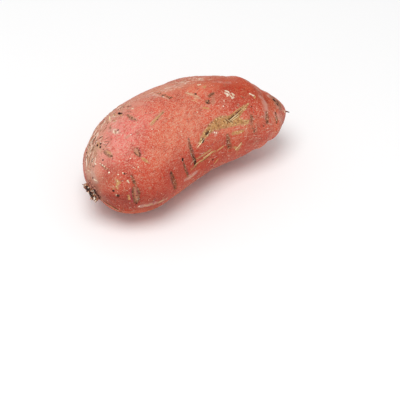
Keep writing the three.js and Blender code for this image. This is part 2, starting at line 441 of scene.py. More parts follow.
SCARS = tuple(
    Dent(*sizes)
    for sizes in (
        (20, 168, 12, 4, 84, 1.4), (49, 176, 9, 3.2, 78, 1.2), (62, 168, 9, 3.2, 76, 1), (71.5, 159, 12, 3.4, 88, 1.4),
        (103.5, 172, 8, 3.4, 90, 1.2), (126, 145, 9, 3.2, 96, 1), (137.5, 153, 7, 3, 96, 1.2),
        (147, 153, 6, 2.6, 96, 0.8), (71, 87, 8, 3, 70, 1.2), (88, 101, 5, 3, 60, 0.9), (38, 88, 6, 3.2, 60, 1.2),
        (27.5, 126, 5, 3.6, 60, 1.7), (8, 128, 8, 3, 40, 1.2), (34, 66, 5, 3, 60, 1), (98.5, 116, 4, 3.6, 0, 0.8),
    )
)

SCARS_BEHIND = tuple(
    Dent(*sizes)
    for sizes in (
        (30, 300, 9, 3.4, 86, 1.3), (64, 318, 10, 3.4, 92, 1.4), (93, 352, 8, 3.2, 84, 1.2), (118, 20, 9, 3.2, 94, 1.2),
        (50, 20, 8, 3.2, 88, 1.2), (82, 42, 7, 3, 80, 1), (24, 350, 8, 3.4, 92, 1.3), (112, 300, 8, 3.2, 88, 1.2),
        (48, 232, 8, 3.2, 86, 1.2), (94, 222, 8, 3.2, 92, 1.2), (132, 232, 7, 3, 90, 1),
    )
)

# Broad hollows and swellings
HOLLOWS = tuple(
    Dent(*sizes)
    for sizes in (
        (104, 146, 19, 6, -14, 0.7), (152.5, 121, 6, 4, 20, -0.8), (5, 243, 11, 6, 90, 2.1),
        (148.5, 75, 9, 4.5, 90, 1.6), (13.5, 23, 8, 7, 0, 1.4), (12, 100, 15, 12, 0, -0.9), (22, 222, 20, 12, 0, -0.8),
        (20, 140, 15, 9, 0, -0.8), (60, 120, 26, 14, 10, -0.7), (78, 70, 30, 9, 0, 0.9), (112, 95, 18, 13, 0, -0.8),
        (88, 178, 20, 10, 0, 0.6), (44, 330, 22, 14, 0, -0.9), (100, 335, 24, 12, 0, 0.9), (130, 300, 14, 12, 0, -0.8),
        (97, 256, 30, 14, 0, -3), (12, 206, 13, 1.6, 24, -0.7),
    )
)

BANDS = tuple(
    Band(*sizes)
    for sizes in (
        (128, 4, -0.5, 2), (134, 3.4, 0.6, 2.5), (141, 3, -0.6, 3), (146.5, 3, 0.5, 2.5), (153, 2.6, -0.5, 2),
    )
)

TONES = tuple(
    Tone(zone, *sizes)
    for zone, rows in {
        # Pinker skin that also paints the sheen of the light on the upper side by the stalk end
        Zone.BLUSH: (
            (26, 84, 20, 26, 1), (17, 108, 16, 22, 0.8), (21, 98, 14, 12, 0.6), (10, 97, 8, 12, 0.5),
            (44, 104, 12, 10, 0.5),
        ),
        Zone.SALMON: (
            (70, 122, 26, 20, 0.9), (76, 130, 14, 14, 0.8), (94, 106, 18, 14, 0.5), (112, 151, 22, 12, 0.6),
            (49, 140, 16, 14, 0.7), (98, 95, 12, 8, 0.7), (76, 142, 10, 8, 0.5),
        ),
        Zone.EMBER: (
            (124, 104, 22, 18, 1), (118, 145, 30, 34, 0.25), (124, 86, 26, 14, 0.9), (80, 173, 18, 12, 0.6),
            (54, 124, 8, 7, 0.5), (50, 176, 50, 28, 1), (42, 126, 9, 12, 0.5), (90, 186, 40, 24, 0.9),
            (100, 20, 45, 60, 0.5),
        ),
        # Painted shade on the lower side and round the stalk, with a darker maroon tone on the top towards the tail
        Zone.DUSK: (
            (12, 184, 14, 17, 1.2), (8, 134, 9, 13, 0.6), (24, 197, 22, 12, 0.75), (12, 204, 13, 12, 0.8),
            (4, 147, 5, 20, 0.5), (60, 206, 44, 14, 0.3), (140, 118, 16, 22, 0.7), (116, 102, 7, 7, 0.4),
            (50, 320, 40, 60, 0.6),
        ),
        Zone.DUST: (
            (7, 76, 8, 30, 1), (1, 76, 3, 60, 1), (24, 58, 22, 16, 0.9), (110, 84, 30, 10, 0.15), (88, 74, 24, 12, 0.5),
            (60, 62, 50, 16, 0.55),
        ),
        # Painted warm bounced light on the underside and the belly's lower edge, with a warmer tone on the top towards
        # the tail
        Zone.RUST: (
            (20, 214, 40, 16, 1), (78, 188, 32, 16, 0.9), (117, 82, 34, 14, 0.9), (128, 100, 14, 16, 0.8),
            (143, 120, 12, 16, 0.7), (80, 280, 120, 40, 0.6),
        ),
        Zone.STRAW: ((120, 160, 14, 10, 0.4), (150, 120, 10, 60, 0.4), (60, 216, 26, 8, 0.6)),
        Zone.TAIL: ((163, 130, 34, 400, 1),),
    }.items()
    for sizes in rows
)

# Each small mark: its kind, how far it stands out, how plain it is, and its places with their half widths
MARK_ROWS = (
    # The first root scar, by the stalk: a torn line that opens into an oval
    (BARK, -0.4, 0.9, (19.4, 148, 0.5), (19.6, 153, 0.9), (19.9, 158.5, 1), (20.4, 164, 0.6)),
    (HOLE, -0.4, 0.85, (19.8, 156.5, 0.5)), (HOLE, -0.3, 0.8, (20.2, 159.5, 0.4)),
    (BARK, -0.4, 1, (18.8, 165, 0.5), (17.8, 171, 0.6), (17.7, 179, 0.5), (18.4, 186, 0.6), (19.4, 191, 0.7)),
    (BARK, -0.4, 1, (21.1, 167, 0.5), (21.9, 174, 0.6), (21.8, 181, 0.5), (21.1, 187, 0.6), (20, 191, 0.7)),
    (ASH, 0, 0.75, (19.8, 168, 1.2), (19.8, 177, 1.8), (19.8, 187, 1.3)),
    (CORK, 0.1, 0.45, (19.2, 172, 0.6), (19.7, 186.5, 0.9)), (HOLE, -0.3, 0.8, (20.2, 179, 0.5)),
    (HOLE, -0.3, 0.85, (21.4, 173.6, 0.45)), (HOLE, -0.3, 0.85, (20, 192.4, 0.5)),
    (ROSE, 0, 1, (16.9, 166, 0.7), (16.5, 175, 0.8), (17.2, 187.5, 0.8)),
    (ROSE, 0, 1, (20.6, 172, 0.6), (20.9, 177, 0.6)), (CREAM, 0.3, 1, (16.2, 153, 0.6), (16.6, 156.5, 0.55)),
    (CORK, 0.1, 0.9, (14.9, 175.5, 0.7), (15.4, 182, 0.8)),
    # The second root scar
    (BARK, -0.5, 1, (48.4, 165, 0.6), (48.7, 171.5, 1.2), (50, 179, 1.5), (51.6, 191, 1.3)),
    (HOLE, -0.5, 0.9, (48.4, 167, 0.7)), (ROSE, 0, 1, (47, 166.5, 0.6), (47.6, 174, 0.8), (49.6, 187, 0.5)),
    # The third
    (HOLE, -0.6, 1, (60.8, 160, 0.8), (60.4, 162, 0.7)),
    (BARK, -0.3, 0.8, (61.1, 165, 0.6), (61.8, 173, 1.2), (63.5, 185.5, 0.9)),
    (ROSE, 0, 0.9, (62.8, 170, 0.5), (64.6, 184, 0.7)),
    # The fourth, the longest
    (BARK, -0.5, 0.9, (70.5, 144, 0.6), (69.8, 151, 1.3), (70.4, 160, 1.6), (71.4, 169, 1.6), (72.3, 179, 1.1)),
    (HOLE, -0.6, 1, (71.9, 168, 0.6), (72.6, 172, 0.7), (71.9, 176, 0.6)), (CREAM, 0.3, 1, (70.9, 171, 0.6)),
    (ROSE, 0, 1, (69.8, 143, 0.8), (71.4, 155, 0.7), (72.6, 166, 0.6)),
    # The fifth
    (BARK, -0.4, 0.9, (104, 161.5, 0.8), (104, 169.5, 1.4), (104.6, 181, 1.6)), (HOLE, -0.3, 0.7, (104.3, 179.5, 0.7)),
    (ROSE, 0, 0.9, (102.6, 163, 0.5), (102.7, 176, 0.7)),
    # The sixth
    (BARK, -0.4, 0.8, (126.2, 144.5, 0.7), (125.6, 150, 1.3), (124.4, 156.5, 1.1)),
    (HOLE, -0.3, 0.9, (128.8, 132.5, 0.5)), (HOLE, -0.3, 0.8, (128.8, 141, 0.45)),
    (ASH, -0.2, 0.8, (127.7, 158, 0.6), (127.4, 173.5, 0.5)), (BARK, -0.2, 0.6, (124.7, 161, 0.5), (125.3, 171, 0.6)),
    # The seventh
    (BARK, -0.5, 1, (139.1, 144.5, 0.8), (138.4, 153, 1.5), (137.3, 162.5, 1)), (HOLE, -0.3, 0.7, (138.6, 150.5, 0.5)),
    (HOLE, -0.3, 0.7, (137.9, 156.5, 0.45)), (ROSE, 0, 0.9, (140.3, 146, 0.5), (139.6, 156, 0.6)),
    # The eighth
    (BARK, -0.3, 0.8, (147.4, 146.5, 0.6), (147, 158, 0.9), (146.2, 168.5, 0.6)),
    (ROSE, 0, 0.9, (151.9, 138.5, 0.5), (150, 158, 0.6)),
    # The torn squiggle on the top, and the small scars and hollows beside it
    (BARK, -0.3, 1, (68.6, 74.5, 0.6), (69.8, 78, 0.6)), (HOLE, -0.2, 0.8, (70.2, 77, 0.45)),
    (BARK, -0.3, 1, (69.2, 84, 0.6), (70.4, 81.5, 0.6), (71.8, 83.5, 0.6)), (HOLE, -0.2, 0.75, (69, 84.6, 0.5)),
    (HOLE, -0.2, 0.75, (71.6, 83.4, 0.4)), (BARK, -0.3, 1, (72.2, 87, 0.6), (72.9, 90.5, 0.9), (74.2, 92, 0.6)),
    (HOLE, -0.2, 0.8, (72.4, 91.6, 0.5)), (CREAM, 0.2, 0.8, (69.1, 86, 0.6), (70.5, 92.5, 0.6)),
    (ASH, 0.1, 0.9, (86.5, 94.5, 1), (90.4, 101, 1.4), (92.8, 108.5, 1)),
    (HOLE, -0.3, 0.46, (86.8, 100, 0.6), (88.2, 104.5, 0.7)), (HOLE, -0.5, 1, (92.5, 101.5, 0.7)),
    (BARK, -0.3, 1, (100.6, 110.4, 0.8), (103.4, 108.4, 1.3), (105.3, 107.4, 0.9)),
    (HOLE, -0.2, 0.85, (103.9, 107.8, 0.6)), (HOLE, -0.1, 0.8, (101.6, 110.2, 0.4)),
    (BARK, -0.5, 1, (97.4, 115.6, 1.3), (98.9, 116.4, 1.5)), (HOLE, -0.2, 0.95, (97.6, 117, 0.7)),
    (HOLE, -0.2, 0.85, (99.2, 114.8, 0.55)), (ASH, 0, 0.7, (103.5, 113, 1.2), (101, 119, 1.6)),
    (HOLE, -0.7, 1, (35, 64.5, 0.7), (35.3, 71, 0.9)), (CORK, 0.1, 0.8, (33.6, 70.5, 0.7), (34.2, 76, 0.6)),
    (CORK, 0.1, 0.9, (31.6, 66, 0.7)), (CORK, 0.1, 0.9, (27.5, 76, 0.8), (28.4, 74, 0.5)),
    (CORK, 0.1, 0.8, (9.4, 76.5, 0.6)), (CORK, 0.1, 0.7, (5.4, 52, 0.7), (7.8, 58.5, 0.6)),
    # The leaf-shaped scar on the shoulder
    (BARK, -0.3, 0.55, (37.1, 80.5, 0.8), (37.7, 87.5, 1.8), (39.2, 96.5, 0.8)),
    (ASH, 0, 1, (37.4, 82, 1), (38, 88.5, 1.6), (38.9, 95, 0.8)), (ROSE, 0, 1, (35.9, 88.5, 0.6), (37.1, 95.5, 0.7)),
    (CREAM, 0.3, 0.9, (42.9, 79, 0.7)), (CREAM, 0.2, 0.9, (29.1, 58.5, 0.5), (26.7, 66, 0.5)),
    (CREAM, 0.2, 0.7, (29.4, 63.5, 0.4), (27, 70, 0.4)), (CORK, 0.1, 0.9, (32.7, 62.5, 0.9)),
    (BARK, -0.3, 1, (22.9, 77.5, 0.6), (22.1, 81, 0.6)),
    # The ring-shaped scar on the shoulder
    (HAZE, 0.2, 1, (21.6, 81, 1.3), (22.6, 87, 1.9), (23.6, 93, 1.9)),
    (CREAM, 0.25, 1, (22, 91.5, 0.5), (22, 88.8, 0.5), (23, 87.2, 0.5), (24.2, 88.2, 0.5)),
    (CREAM, 0.25, 0.9, (24.4, 93, 0.45), (23.2, 94, 0.5)), (BARK, -0.2, 1, (22.6, 92.4, 0.4), (23.3, 90, 0.4)),
    (HOLE, -0.3, 1, (25, 91.2, 0.6)), (HOLE, -0.3, 0.8, (21.3, 84.5, 0.45)), (HOLE, -0.2, 0.8, (26.7, 48, 0.7)),
    (HOLE, -0.2, 0.7, (21.2, 67, 0.5)), (ROSE, 0, 1, (30.5, 106.5, 0.9)), (CREAM, 0.2, 0.8, (29.9, 106.5, 0.5)),
    (ASH, 0, 0.8, (25.9, 106.5, 0.6), (28.6, 106, 0.6)), (ASH, 0, 0.7, (34.2, 110, 1)),
    # Three dark dots
    (HOLE, -0.6, 1, (10.2, 80, 0.75)), (HOLE, -0.6, 1, (12, 85, 0.7)), (HOLE, -0.6, 1, (10.7, 88.5, 0.75)),
    (CORK, 0, 0.55, (11.5, 79, 1.5), (10, 87, 1.2)),
    # The olive patch
    (ASH, 0, 1, (6.3, 65.5, 1.3), (7.9, 75, 1.7), (9.2, 82.5, 1)),
    # The tan oval
    (ASH, 0.2, 1, (11.8, 102.5, 1.2), (12.6, 108, 1.4), (13.3, 112, 0.9)),
    (CORK, 0.1, 0.7, (12.4, 104, 0.7), (13, 108.5, 0.9)),
    (BARK, -0.25, 1, (10.9, 101.5, 0.6), (11.3, 106, 0.8), (11.9, 111, 0.7), (13.2, 114.2, 0.6)),
    (BARK, -0.1, 0.7, (11.4, 100.6, 0.5), (13.2, 102.5, 0.4)),
    # The oval nub
    (BARK, -0.6, 1, (29.3, 122.5, 0.4), (29.7, 127, 0.6), (29, 131, 0.6)),
    (BARK, -0.5, 0.9, (26.5, 124.5, 0.4), (27.1, 129, 0.4), (28.2, 131.8, 0.5)),
    (ASH, 0.1, 1, (27.4, 121.5, 0.8), (28, 125.5, 1.1), (28.1, 129, 0.9)),
    (CORK, 0.1, 0.6, (27.7, 124, 0.5), (28, 128, 0.5)),
    # The dark red line on the nub's tail side paints the shadow beside its raised rim
    (ROSE, 0, 1, (30.5, 124, 0.6), (30.5, 129.5, 0.7), (28.6, 133.5, 0.7)), (HOLE, -0.2, 0.8, (29.4, 130, 0.4)),
    (HOLE, -0.3, 0.9, (7.9, 108, 0.6)),
    # The chain of nubs above the stalk
    (CREAM, 0.3, 0.8, (3.3, 88.5, 0.5)), (CREAM, 0.3, 0.8, (4, 99, 0.55)), (CREAM, 0.35, 0.9, (5.9, 108.5, 0.6)),
    (CREAM, 0.35, 1, (6.4, 113.4, 0.6)), (CREAM, 0.35, 0.9, (6.8, 117.6, 0.6)),
    # The dark line beside the nubs paints their shade, laid as a bark mark with a shallow groove
    (BARK, -0.1, 0.9, (5.9, 111, 0.5), (6.3, 115.6, 0.5), (6.7, 120, 0.5)), (CREAM, 0.3, 0.8, (7.5, 123, 0.5)),
    (BARK, 0.1, 0.8, (7.8, 126, 0.7)), (CREAM, 0.3, 0.9, (7.5, 131.5, 0.8)), (BARK, -0.2, 0.8, (6.5, 122, 0.5)),
    (HOLE, -0.3, 1, (5.5, 47.5, 0.7)), (HOLE, -0.2, 0.9, (7.2, 35.5, 0.4)),
    # The whitish patch by the stalk
    (HAZE, 0.1, 1, (1, 92, 1.8), (1.2, 114, 1.8), (0.9, 130, 2.6)),
    (ASH, 0.1, 1, (1.2, 100, 1), (1.3, 120, 1.2), (1, 140, 1.4)),
    (CREAM, 0.1, 0.8, (1, 94, 0.4), (1.1, 104, 0.35), (1.2, 116, 0.4)),
    (CREAM, 0.15, 0.8, (0.8, 124, 0.5), (1, 130, 0.6), (1.4, 136, 0.45)), (HOLE, -0.4, 0.9, (0.6, 114.5, 0.9)),
    (CREAM, 0.15, 0.8, (0.9, 18, 0.5)), (CREAM, 0.15, 0.8, (0.9, 60, 0.5), (0.8, 82, 0.5)),
    # The ochre patch and the crumbs round it
    (CORK, 0.1, 0.9, (9.8, 146.6, 0.7), (10.6, 150.2, 1.1)), (CORK, 0.1, 0.9, (11.6, 152.6, 0.7), (10, 154, 0.9)),
    (CORK, 0.1, 0.9, (9, 157.6, 0.9), (9.6, 161.4, 0.6)), (ASH, 0, 0.6, (9.8, 147, 1.4), (10, 159, 1.4)),
    (CREAM, 0.2, 0.8, (10.6, 149.4, 0.45)), (CREAM, 0.2, 0.8, (9.2, 157.4, 0.45)), (CREAM, 0.2, 0.8, (12, 140.5, 0.6)),
    (CREAM, 0.2, 1, (14.9, 141, 0.6)), (HOLE, -0.3, 1, (15.6, 143, 0.6)), (HOLE, -0.4, 1, (7, 165.5, 0.8)),
    (CORK, 0.2, 0.9, (7.2, 161.5, 0.6)),
    # The hole, with a raised pale rim that also paints the highlight on its edge, and pale flecks near it
    (HOLE, -0.7, 1, (8.9, 175.5, 1)), (CREAM, 0.4, 1, (8.3, 172.5, 0.55)), (CREAM, 0.2, 0.6, (5.7, 160, 0.5)),
    (CREAM, 0.2, 0.8, (22.1, 140, 0.45), (22.9, 142.5, 0.45)), (CREAM, 0.25, 0.9, (25.1, 142, 0.6)),
    (CREAM, 0.2, 0.8, (22.4, 129.5, 0.5)),
    # The small ring
    (ASH, 0, 0.7, (29.4, 171, 1.1)), (HOLE, -0.2, 0.7, (29.7, 171.5, 0.4)),
    # The faint ochre patch, and the pale streaks along the edge of the belly
    (CORK, 0, 0.6, (29.1, 134, 0.8), (30.8, 137.5, 1.3), (32.5, 142.5, 1)), (CORK, 0.1, 0.9, (31.6, 139.5, 0.8)),
    (CREAM, 0.1, 0.4, (37.4, 180, 0.7)), (ROSE, -0.2, 1, (32.2, 198, 0.6), (33.3, 190, 0.7)),
    (BARK, -0.2, 0.7, (31.3, 195.5, 0.4), (33, 189, 0.4)), (HOLE, -0.3, 0.9, (36.2, 203, 0.5)),
    (CREAM, 0.2, 0.9, (22.1, 198, 0.6)), (HAZE, 0.05, 0.9, (22, 199, 1.4), (28, 198, 2), (34, 197.5, 1.8)),
    (ASH, 0.05, 0.9, (33, 199.5, 1.4), (38, 199, 1.8), (43.5, 198.5, 1.2)),
    (ASH, 0.05, 0.8, (24.5, 200, 0.8), (30, 199, 1)),
    (HAZE, 0.05, 1, (60.5, 187.5, 1.2), (66, 188, 2), (72.5, 188.5, 1.4)),
    (CORK, 0.05, 0.7, (29.8, 198.6, 0.6), (31.4, 197.6, 0.5)),
    # Fine pale crumbs, each with its painted shadow as a dark hole mark
    (CREAM, 0.25, 1, (44.8, 114.5, 0.5)), (HOLE, -0.1, 0.8, (45.8, 115.5, 0.35)), (CREAM, 0.2, 0.8, (48.7, 119.5, 0.4)),
    (HOLE, -0.1, 0.7, (49, 120.5, 0.35)),
    # The yellowish streak on the shoulder, and single flecks
    (ASH, 0.1, 1, (45.8, 110, 0.9), (52, 107.5, 1.2), (60.1, 104.5, 0.8)),
    (CORK, 0, 0.8, (47.7, 109.5, 0.6), (53, 107.5, 0.6)), (BARK, -0.2, 0.7, (51.6, 109, 0.35), (60.1, 105.5, 0.35)),
    (CREAM, 0.35, 0.9, (99.1, 90.5, 0.9), (100.9, 90.5, 0.6)), (CORK, 0.3, 1, (102, 96.4, 1.1), (102.9, 95.4, 0.8)),
    (CORK, 0.1, 1, (92.1, 121, 0.7), (95.7, 124, 0.6)), (CREAM, 0.3, 1, (85.4, 122.5, 0.55)),
    (CREAM, 0.3, 1, (109.7, 119.5, 0.45)), (CREAM, 0.3, 0.9, (107.4, 126, 0.5)), (CREAM, 0.3, 1, (114.6, 163.5, 0.5)),
    (CREAM, 0.3, 0.9, (119.1, 160, 0.5)), (CREAM, 0.3, 0.8, (117.9, 145, 0.5)), (CREAM, 0.3, 1, (105.3, 201.5, 0.45)),
    # The cluster of pale crumbs on the top
    (CREAM, 0.4, 1, (114.9, 106.4, 0.85), (116.3, 108.3, 0.8)),
    (CREAM, 0.4, 1, (114.6, 111.4, 0.85), (113.2, 109.3, 0.6)),
    (CREAM, 0.3, 0.9, (113.7, 113.8, 0.6), (116.6, 111.2, 0.5)), (CREAM, 0.4, 1, (116.3, 114.5, 0.8)),
    (CREAM, 0.4, 1, (118.8, 112.8, 0.9), (118.4, 110.4, 0.5)), (CREAM, 0.4, 1, (116.6, 117.2, 0.85), (118, 116.4, 0.6)),
    (ASH, 0, 0.5, (114, 110, 1.2), (116.9, 116, 1.2)),
    # The pale flake
    (CREAM, 0.4, 1, (131.8, 113, 0.6), (132.6, 114.6, 0.5)), (CREAM, 0.4, 1, (133.2, 116.6, 0.7), (134.3, 117.4, 0.4)),
    (CORK, 0.4, 1, (134, 119.6, 0.6), (133.4, 121, 0.5)), (BARK, -0.2, 0.7, (124.1, 116, 0.5), (125.3, 118.5, 0.5)),
    # The pinkish white triangle below the graze
    (HAZE, 0.1, 1, (92, 150.5, 0.8), (95.5, 153.5, 1.2), (93.4, 156, 0.7)),
    (CREAM, 0.1, 0.8, (93.5, 152, 0.5), (95.2, 153.6, 0.5)),
    # The tan patches below the graze
    (CORK, -0.1, 1, (108.4, 161.5, 1.1), (112, 162, 1.4), (115.9, 161.5, 0.8)),
    (CORK, -0.1, 1, (108.7, 182, 0.9), (110.7, 187, 1.1)),
    (CORK, 0.1, 1, (113.7, 178, 0.4), (113, 183.5, 0.45), (111.4, 189.5, 0.4), (110.4, 195, 0.3)),
    (CORK, 0, 0.8, (119.8, 157.5, 0.6)), (BARK, -0.2, 0.6, (112.7, 172.5, 0.5)), (ROSE, -0.2, 0.9, (89.7, 164.5, 0.9)),
    # Scratches
    (CORK, -0.1, 0.9, (72.6, 170.5, 0.4), (80.1, 170, 0.6), (86.1, 169.5, 0.7), (89, 170, 0.4)),
    (CORK, -0.1, 0.7, (89.7, 176, 0.4), (97, 176.5, 0.5)), (HOLE, -0.4, 1, (89.3, 186, 0.75)),
    (HOLE, -0.3, 0.9, (133.6, 165, 0.5)), (HOLE, -0.2, 0.7, (114.6, 210.5, 0.35)),
    # The dusty bands of the tail
    (HAZE, 0.15, 1, (138.1, 117, 1), (139.6, 122, 1.8), (140.1, 131, 2.4), (139.1, 141.5, 1.8), (137.1, 153, 1.4)),
    (HAZE, 0.1, 1, (147.6, 107.5, 1.6), (149.1, 112.5, 1.8), (153, 117, 1.2), (156.5, 127, 1.2)),
    (HAZE, 0.1, 0.8, (146, 147, 1.2), (149.5, 158, 1.6), (151, 168, 1.4)),
    # Hazy patches on the shoulder
    (HAZE, 0, 0.6, (60, 72, 2.6), (66, 77, 2.6), (69, 84, 1.8)),
    (HAZE, 0, 0.55, (74, 72, 2), (84, 74, 3), (92, 78, 2.4)), (HAZE, 0, 0.5, (48, 76, 2.2), (52, 84, 2.4)),
    (HAZE, 0, 0.45, (112, 88, 1.8), (122, 92, 2)),
    # The rough knot at the tail
    (BARK, 0.5, 1, (149.2, 109, 1.6), (150.6, 117, 2.8), (152.4, 125, 3), (154, 132, 2)),
    (BARK, 0.3, 0.9, (153.6, 112, 1.4), (155.6, 121, 1.8)),
    (HAZE, 0.2, 1, (149.4, 124, 1.4), (150.6, 132, 1.6), (153.6, 137, 1.4)),
    (HOLE, -0.3, 0.9, (148.9, 117, 0.6), (149.4, 121, 0.6)), (HOLE, -0.3, 0.9, (150.2, 126.5, 0.5), (150.8, 130, 0.5)),
    (HOLE, -0.3, 0.9, (151.8, 119.5, 0.6), (152.6, 123.5, 0.5)), (HOLE, -0.2, 0.9, (150.6, 113.5, 0.5)),
    (HOLE, -0.2, 0.9, (153.6, 129, 0.5)), (CORK, 0.3, 0.9, (153.8, 118, 0.8), (155.6, 125.5, 0.8)),
    (CREAM, 0.4, 1, (158.3, 151.5, 1)),
)

MARKS = tuple(Mark(kind, tuple(path), rise, amount) for kind, rise, amount, *path in MARK_ROWS)

# The big corky graze's outline, as places on the skin
GRAZE = (
    ((77.6, 154), (80.4, 150.5), (83.3, 146), (87.5, 143), (92.8, 140.5), (98.1, 138), (103.3, 137.5))
    + ((108.7, 139), (113.3, 138), (117.9, 133.5), (122.9, 129.5), (127.1, 127.5), (123.5, 133.5))
    + ((118.8, 138), (115.3, 141.5), (115.9, 146), (119.1, 149), (122.9, 150.5), (120.7, 154.5))
    + ((115.6, 153.5), (110, 152), (104.6, 152), (99.1, 151), (94.2, 149.5), (90.4, 149.5), (87.5, 151))
    + ((83.6, 152.5), (80.4, 154))
)


@dataclass(frozen=True)
class Strand:
    """A dry fibre that lies on the skin: its places, its half thickness and its shade from dark to straw."""

    path: tuple[tuple[float, float], ...]
    thick: float
    shade: float


# Each single fibre: its half thickness, its shade and its places
STRAND_ROWS = (
    # The graze's upper tail
    (0.36, 0.95, (108.5, 144.4), (112, 141.6), (116.4, 138.2)),
    (0.36, 0.72, (114.5, 140), (119, 135.6), (127.3, 127.2)), (0.38, 0.03, (108, 143), (110.6, 141), (112.8, 139.4)),
    (0.34, 0.08, (113.6, 138.4), (116.6, 136), (119, 133.8)),
    (0.28, 0.05, (112.4, 141.8), (115.6, 139.2), (117.6, 137.4)), (0.24, 0.12, (118.6, 135.4), (121.4, 132.4)),
    (0.34, 0.9, (110, 145.4), (113, 143.4), (116.5, 140.6)), (0.26, 0.6, (112.6, 144.6), (116.2, 142), (121, 136.6)),
    (0.34, 0.55, (106.8, 141.8), (110.5, 138.6), (115.6, 134.4)),
    (0.28, 0.7, (112, 137.2), (115.5, 134), (121.6, 130.2)), (0.26, 0.88, (116, 138.8), (121, 133.8), (125, 129.6)),
    (0.22, 0.85, (104.4, 142.2), (105.4, 144.6), (106, 146.6)),
    (0.22, 0.12, (105.4, 142), (106.6, 144.8), (107.6, 147.4)), (0.22, 0.9, (106.4, 141.8), (107.8, 145), (109, 148.4)),
    (0.2, 0.2, (107.4, 142.6), (109, 146), (110, 149)), (0.22, 0.8, (108.6, 143), (110, 146), (110.8, 148.4)),
    (0.2, 0.15, (103.2, 142.6), (104.2, 145.4)),
    # The graze's lower tail
    (0.42, 0.98, (75.2, 157.4), (79, 155), (83, 151.8)), (0.55, 0.03, (80.6, 155.6), (82.6, 153.2)),
    (0.4, 0.1, (80.4, 153), (82.8, 150.8)), (0.6, 0.08, (86, 149.6), (88.6, 147.2)),
    (0.45, 0.98, (86.4, 150.8), (88, 149.2)), (0.4, 0.2, (84.6, 149.4), (86.4, 147.4)),
    (0.4, 0.95, (89, 148.4), (90.4, 147.2)),
    # Scratches below the graze
    (0.45, 0.66, (75.8, 176.2), (81.9, 175.2), (87, 174.4), (91.5, 173.6)),
    (0.35, 0.85, (79.5, 174), (85, 173.6), (89.5, 172.6)), (0.3, 0.72, (70.5, 177), (74, 176), (77.5, 174.6)),
    (0.32, 0.55, (66, 178.5), (70, 178), (75, 176.8)), (0.36, 0.7, (93.5, 175.6), (97, 174.8), (100.5, 173.4)),
    (0.28, 0.4, (77, 177.4), (83, 177), (86, 176)), (0.38, 0.7, (90.7, 195), (94.5, 189.5)),
    (0.34, 0.9, (108.8, 187.2), (111.6, 182.2), (114, 177.6)),
    # Pale streaks under the belly's edge
    (0.24, 0.8, (25.5, 198.6), (28, 198), (31, 197)), (0.22, 0.9, (36.5, 198.6), (40, 197.6)),
    (0.22, 0.85, (64, 188.2), (68.5, 188.8)),
    # Flecks on the dusty shoulder
    (0.5, 1.15, (29.6, 57.5), (28.2, 61.5), (26.2, 68.5)), (0.3, 1.1, (32, 60), (30.6, 64)),
    (0.3, 0.5, (25.4, 62.5), (24.2, 66.5)), (0.24, 1, (86.4, 94.6), (88.4, 98), (90.6, 101.4)),
    (0.24, 0.95, (88.8, 106.4), (91.4, 108.6)), (0.22, 0.85, (86.2, 106.6), (88.4, 109.4), (89.6, 112)),
    (0.22, 0.9, (91.4, 103.6), (93.4, 107.2)),
    # The yellowish streak on the shoulder
    (0.34, 0.68, (46, 110.5), (50, 108.8), (55, 106.8), (60, 104.6)), (0.3, 0.8, (45.5, 108.6), (50.5, 107.2)),
    # The rolled fold under the stalk: its dark strands paint the shade inside the fold and its pale ones the light
    # along its ridge
    (0.26, 0.12, (2.8, 214), (4.6, 212.6), (6.6, 212.4)), (0.32, 0.06, (6.8, 212), (8.6, 212.4), (10.4, 214)),
    (0.26, 0.72, (4.4, 213.8), (6.6, 213.7), (9.6, 215)), (0.24, 0.9, (8.2, 213.6), (9.8, 214.8), (11.2, 216.2)),
    (0.24, 0.3, (11, 215.4), (12.6, 218), (14, 220)),
)

STRANDS = tuple(Strand(tuple(path), thick, shade) for thick, shade, *path in STRAND_ROWS)


@dataclass(frozen=True)
class Patch:
    """A part of the skin with small things strewn over it: its places, their number, half widths and shades."""

    at: tuple[float, float]
    around: tuple[float, float]
    count: int
    wide: tuple[float, float]
    shade: tuple[float, float]

    def strewn(self, chance: random.Random) -> Scatter:
        """Picks a place, a half width and a shade for each thing."""
        ranges = (self.at, self.around, self.wide, self.shade)
        return [tuple(chance.uniform(*ends) for ends in ranges) for _ in range(self.count)]


FIBRE_PATCHES = (
    Patch((1, 15), (44, 98), 120, (0.14, 0.34), (0.0, 1.2)),
    Patch((14, 42), (44, 78), 80, (0.12, 0.3), (0.1, 1.1)),
    Patch((40, 130), (50, 84), 90, (0.08, 0.18), (0.3, 1.0)),
    Patch((60, 108), (66, 84), 60, (0.1, 0.2), (0.7, 1.1)),
    Patch((60, 150), (150, 215), 110, (0.08, 0.17), (0.3, 1.0)),
    Patch((3, 158), (60, 230), 200, (0.07, 0.14), (0.1, 1.0)),
    Patch((3, 158), (230, 400), 420, (0.08, 0.2), (0.0, 1.0)),
)

CRUMB_PATCHES = (
    Patch((3, 160), (40, 230), 420, (0.16, 0.34), (0.6, 1.0)),
    Patch((3, 160), (40, 230), 200, (0.16, 0.3), (0.0, 0.2)),
    Patch((1, 15), (45, 100), 60, (0.18, 0.4), (0.0, 1.0)),
    Patch((3, 160), (230, 400), 420, (0.18, 0.42), (0.0, 1.0)),
    Patch((148.6, 154.6), (111, 134), 60, (0.25, 0.55), (0.0, 0.35)),
    Patch((149, 156), (110, 140), 18, (0.22, 0.42), (0.6, 1.0)),
)


def unit(vectors: Array) -> Array:
    """Brings vectors to a length of 1."""
    return vectors / np.linalg.norm(vectors, axis=-1, keepdims=True)


def eased(values: Array, low: float, high: float) -> Array:
    """Rises softly from 0 at low to 1 at high."""
    share = np.clip((values - low) / (high - low), 0, 1)
    return share * share * (3 - 2 * share)


def spaced(knots: Array, places: Array | float) -> Array:
    """Reads a line between its knots, where place 1.5 is halfway from the second to the third."""
    return np.stack([np.interp(places, np.arange(len(knots)), column) for column in knots.T], -1)


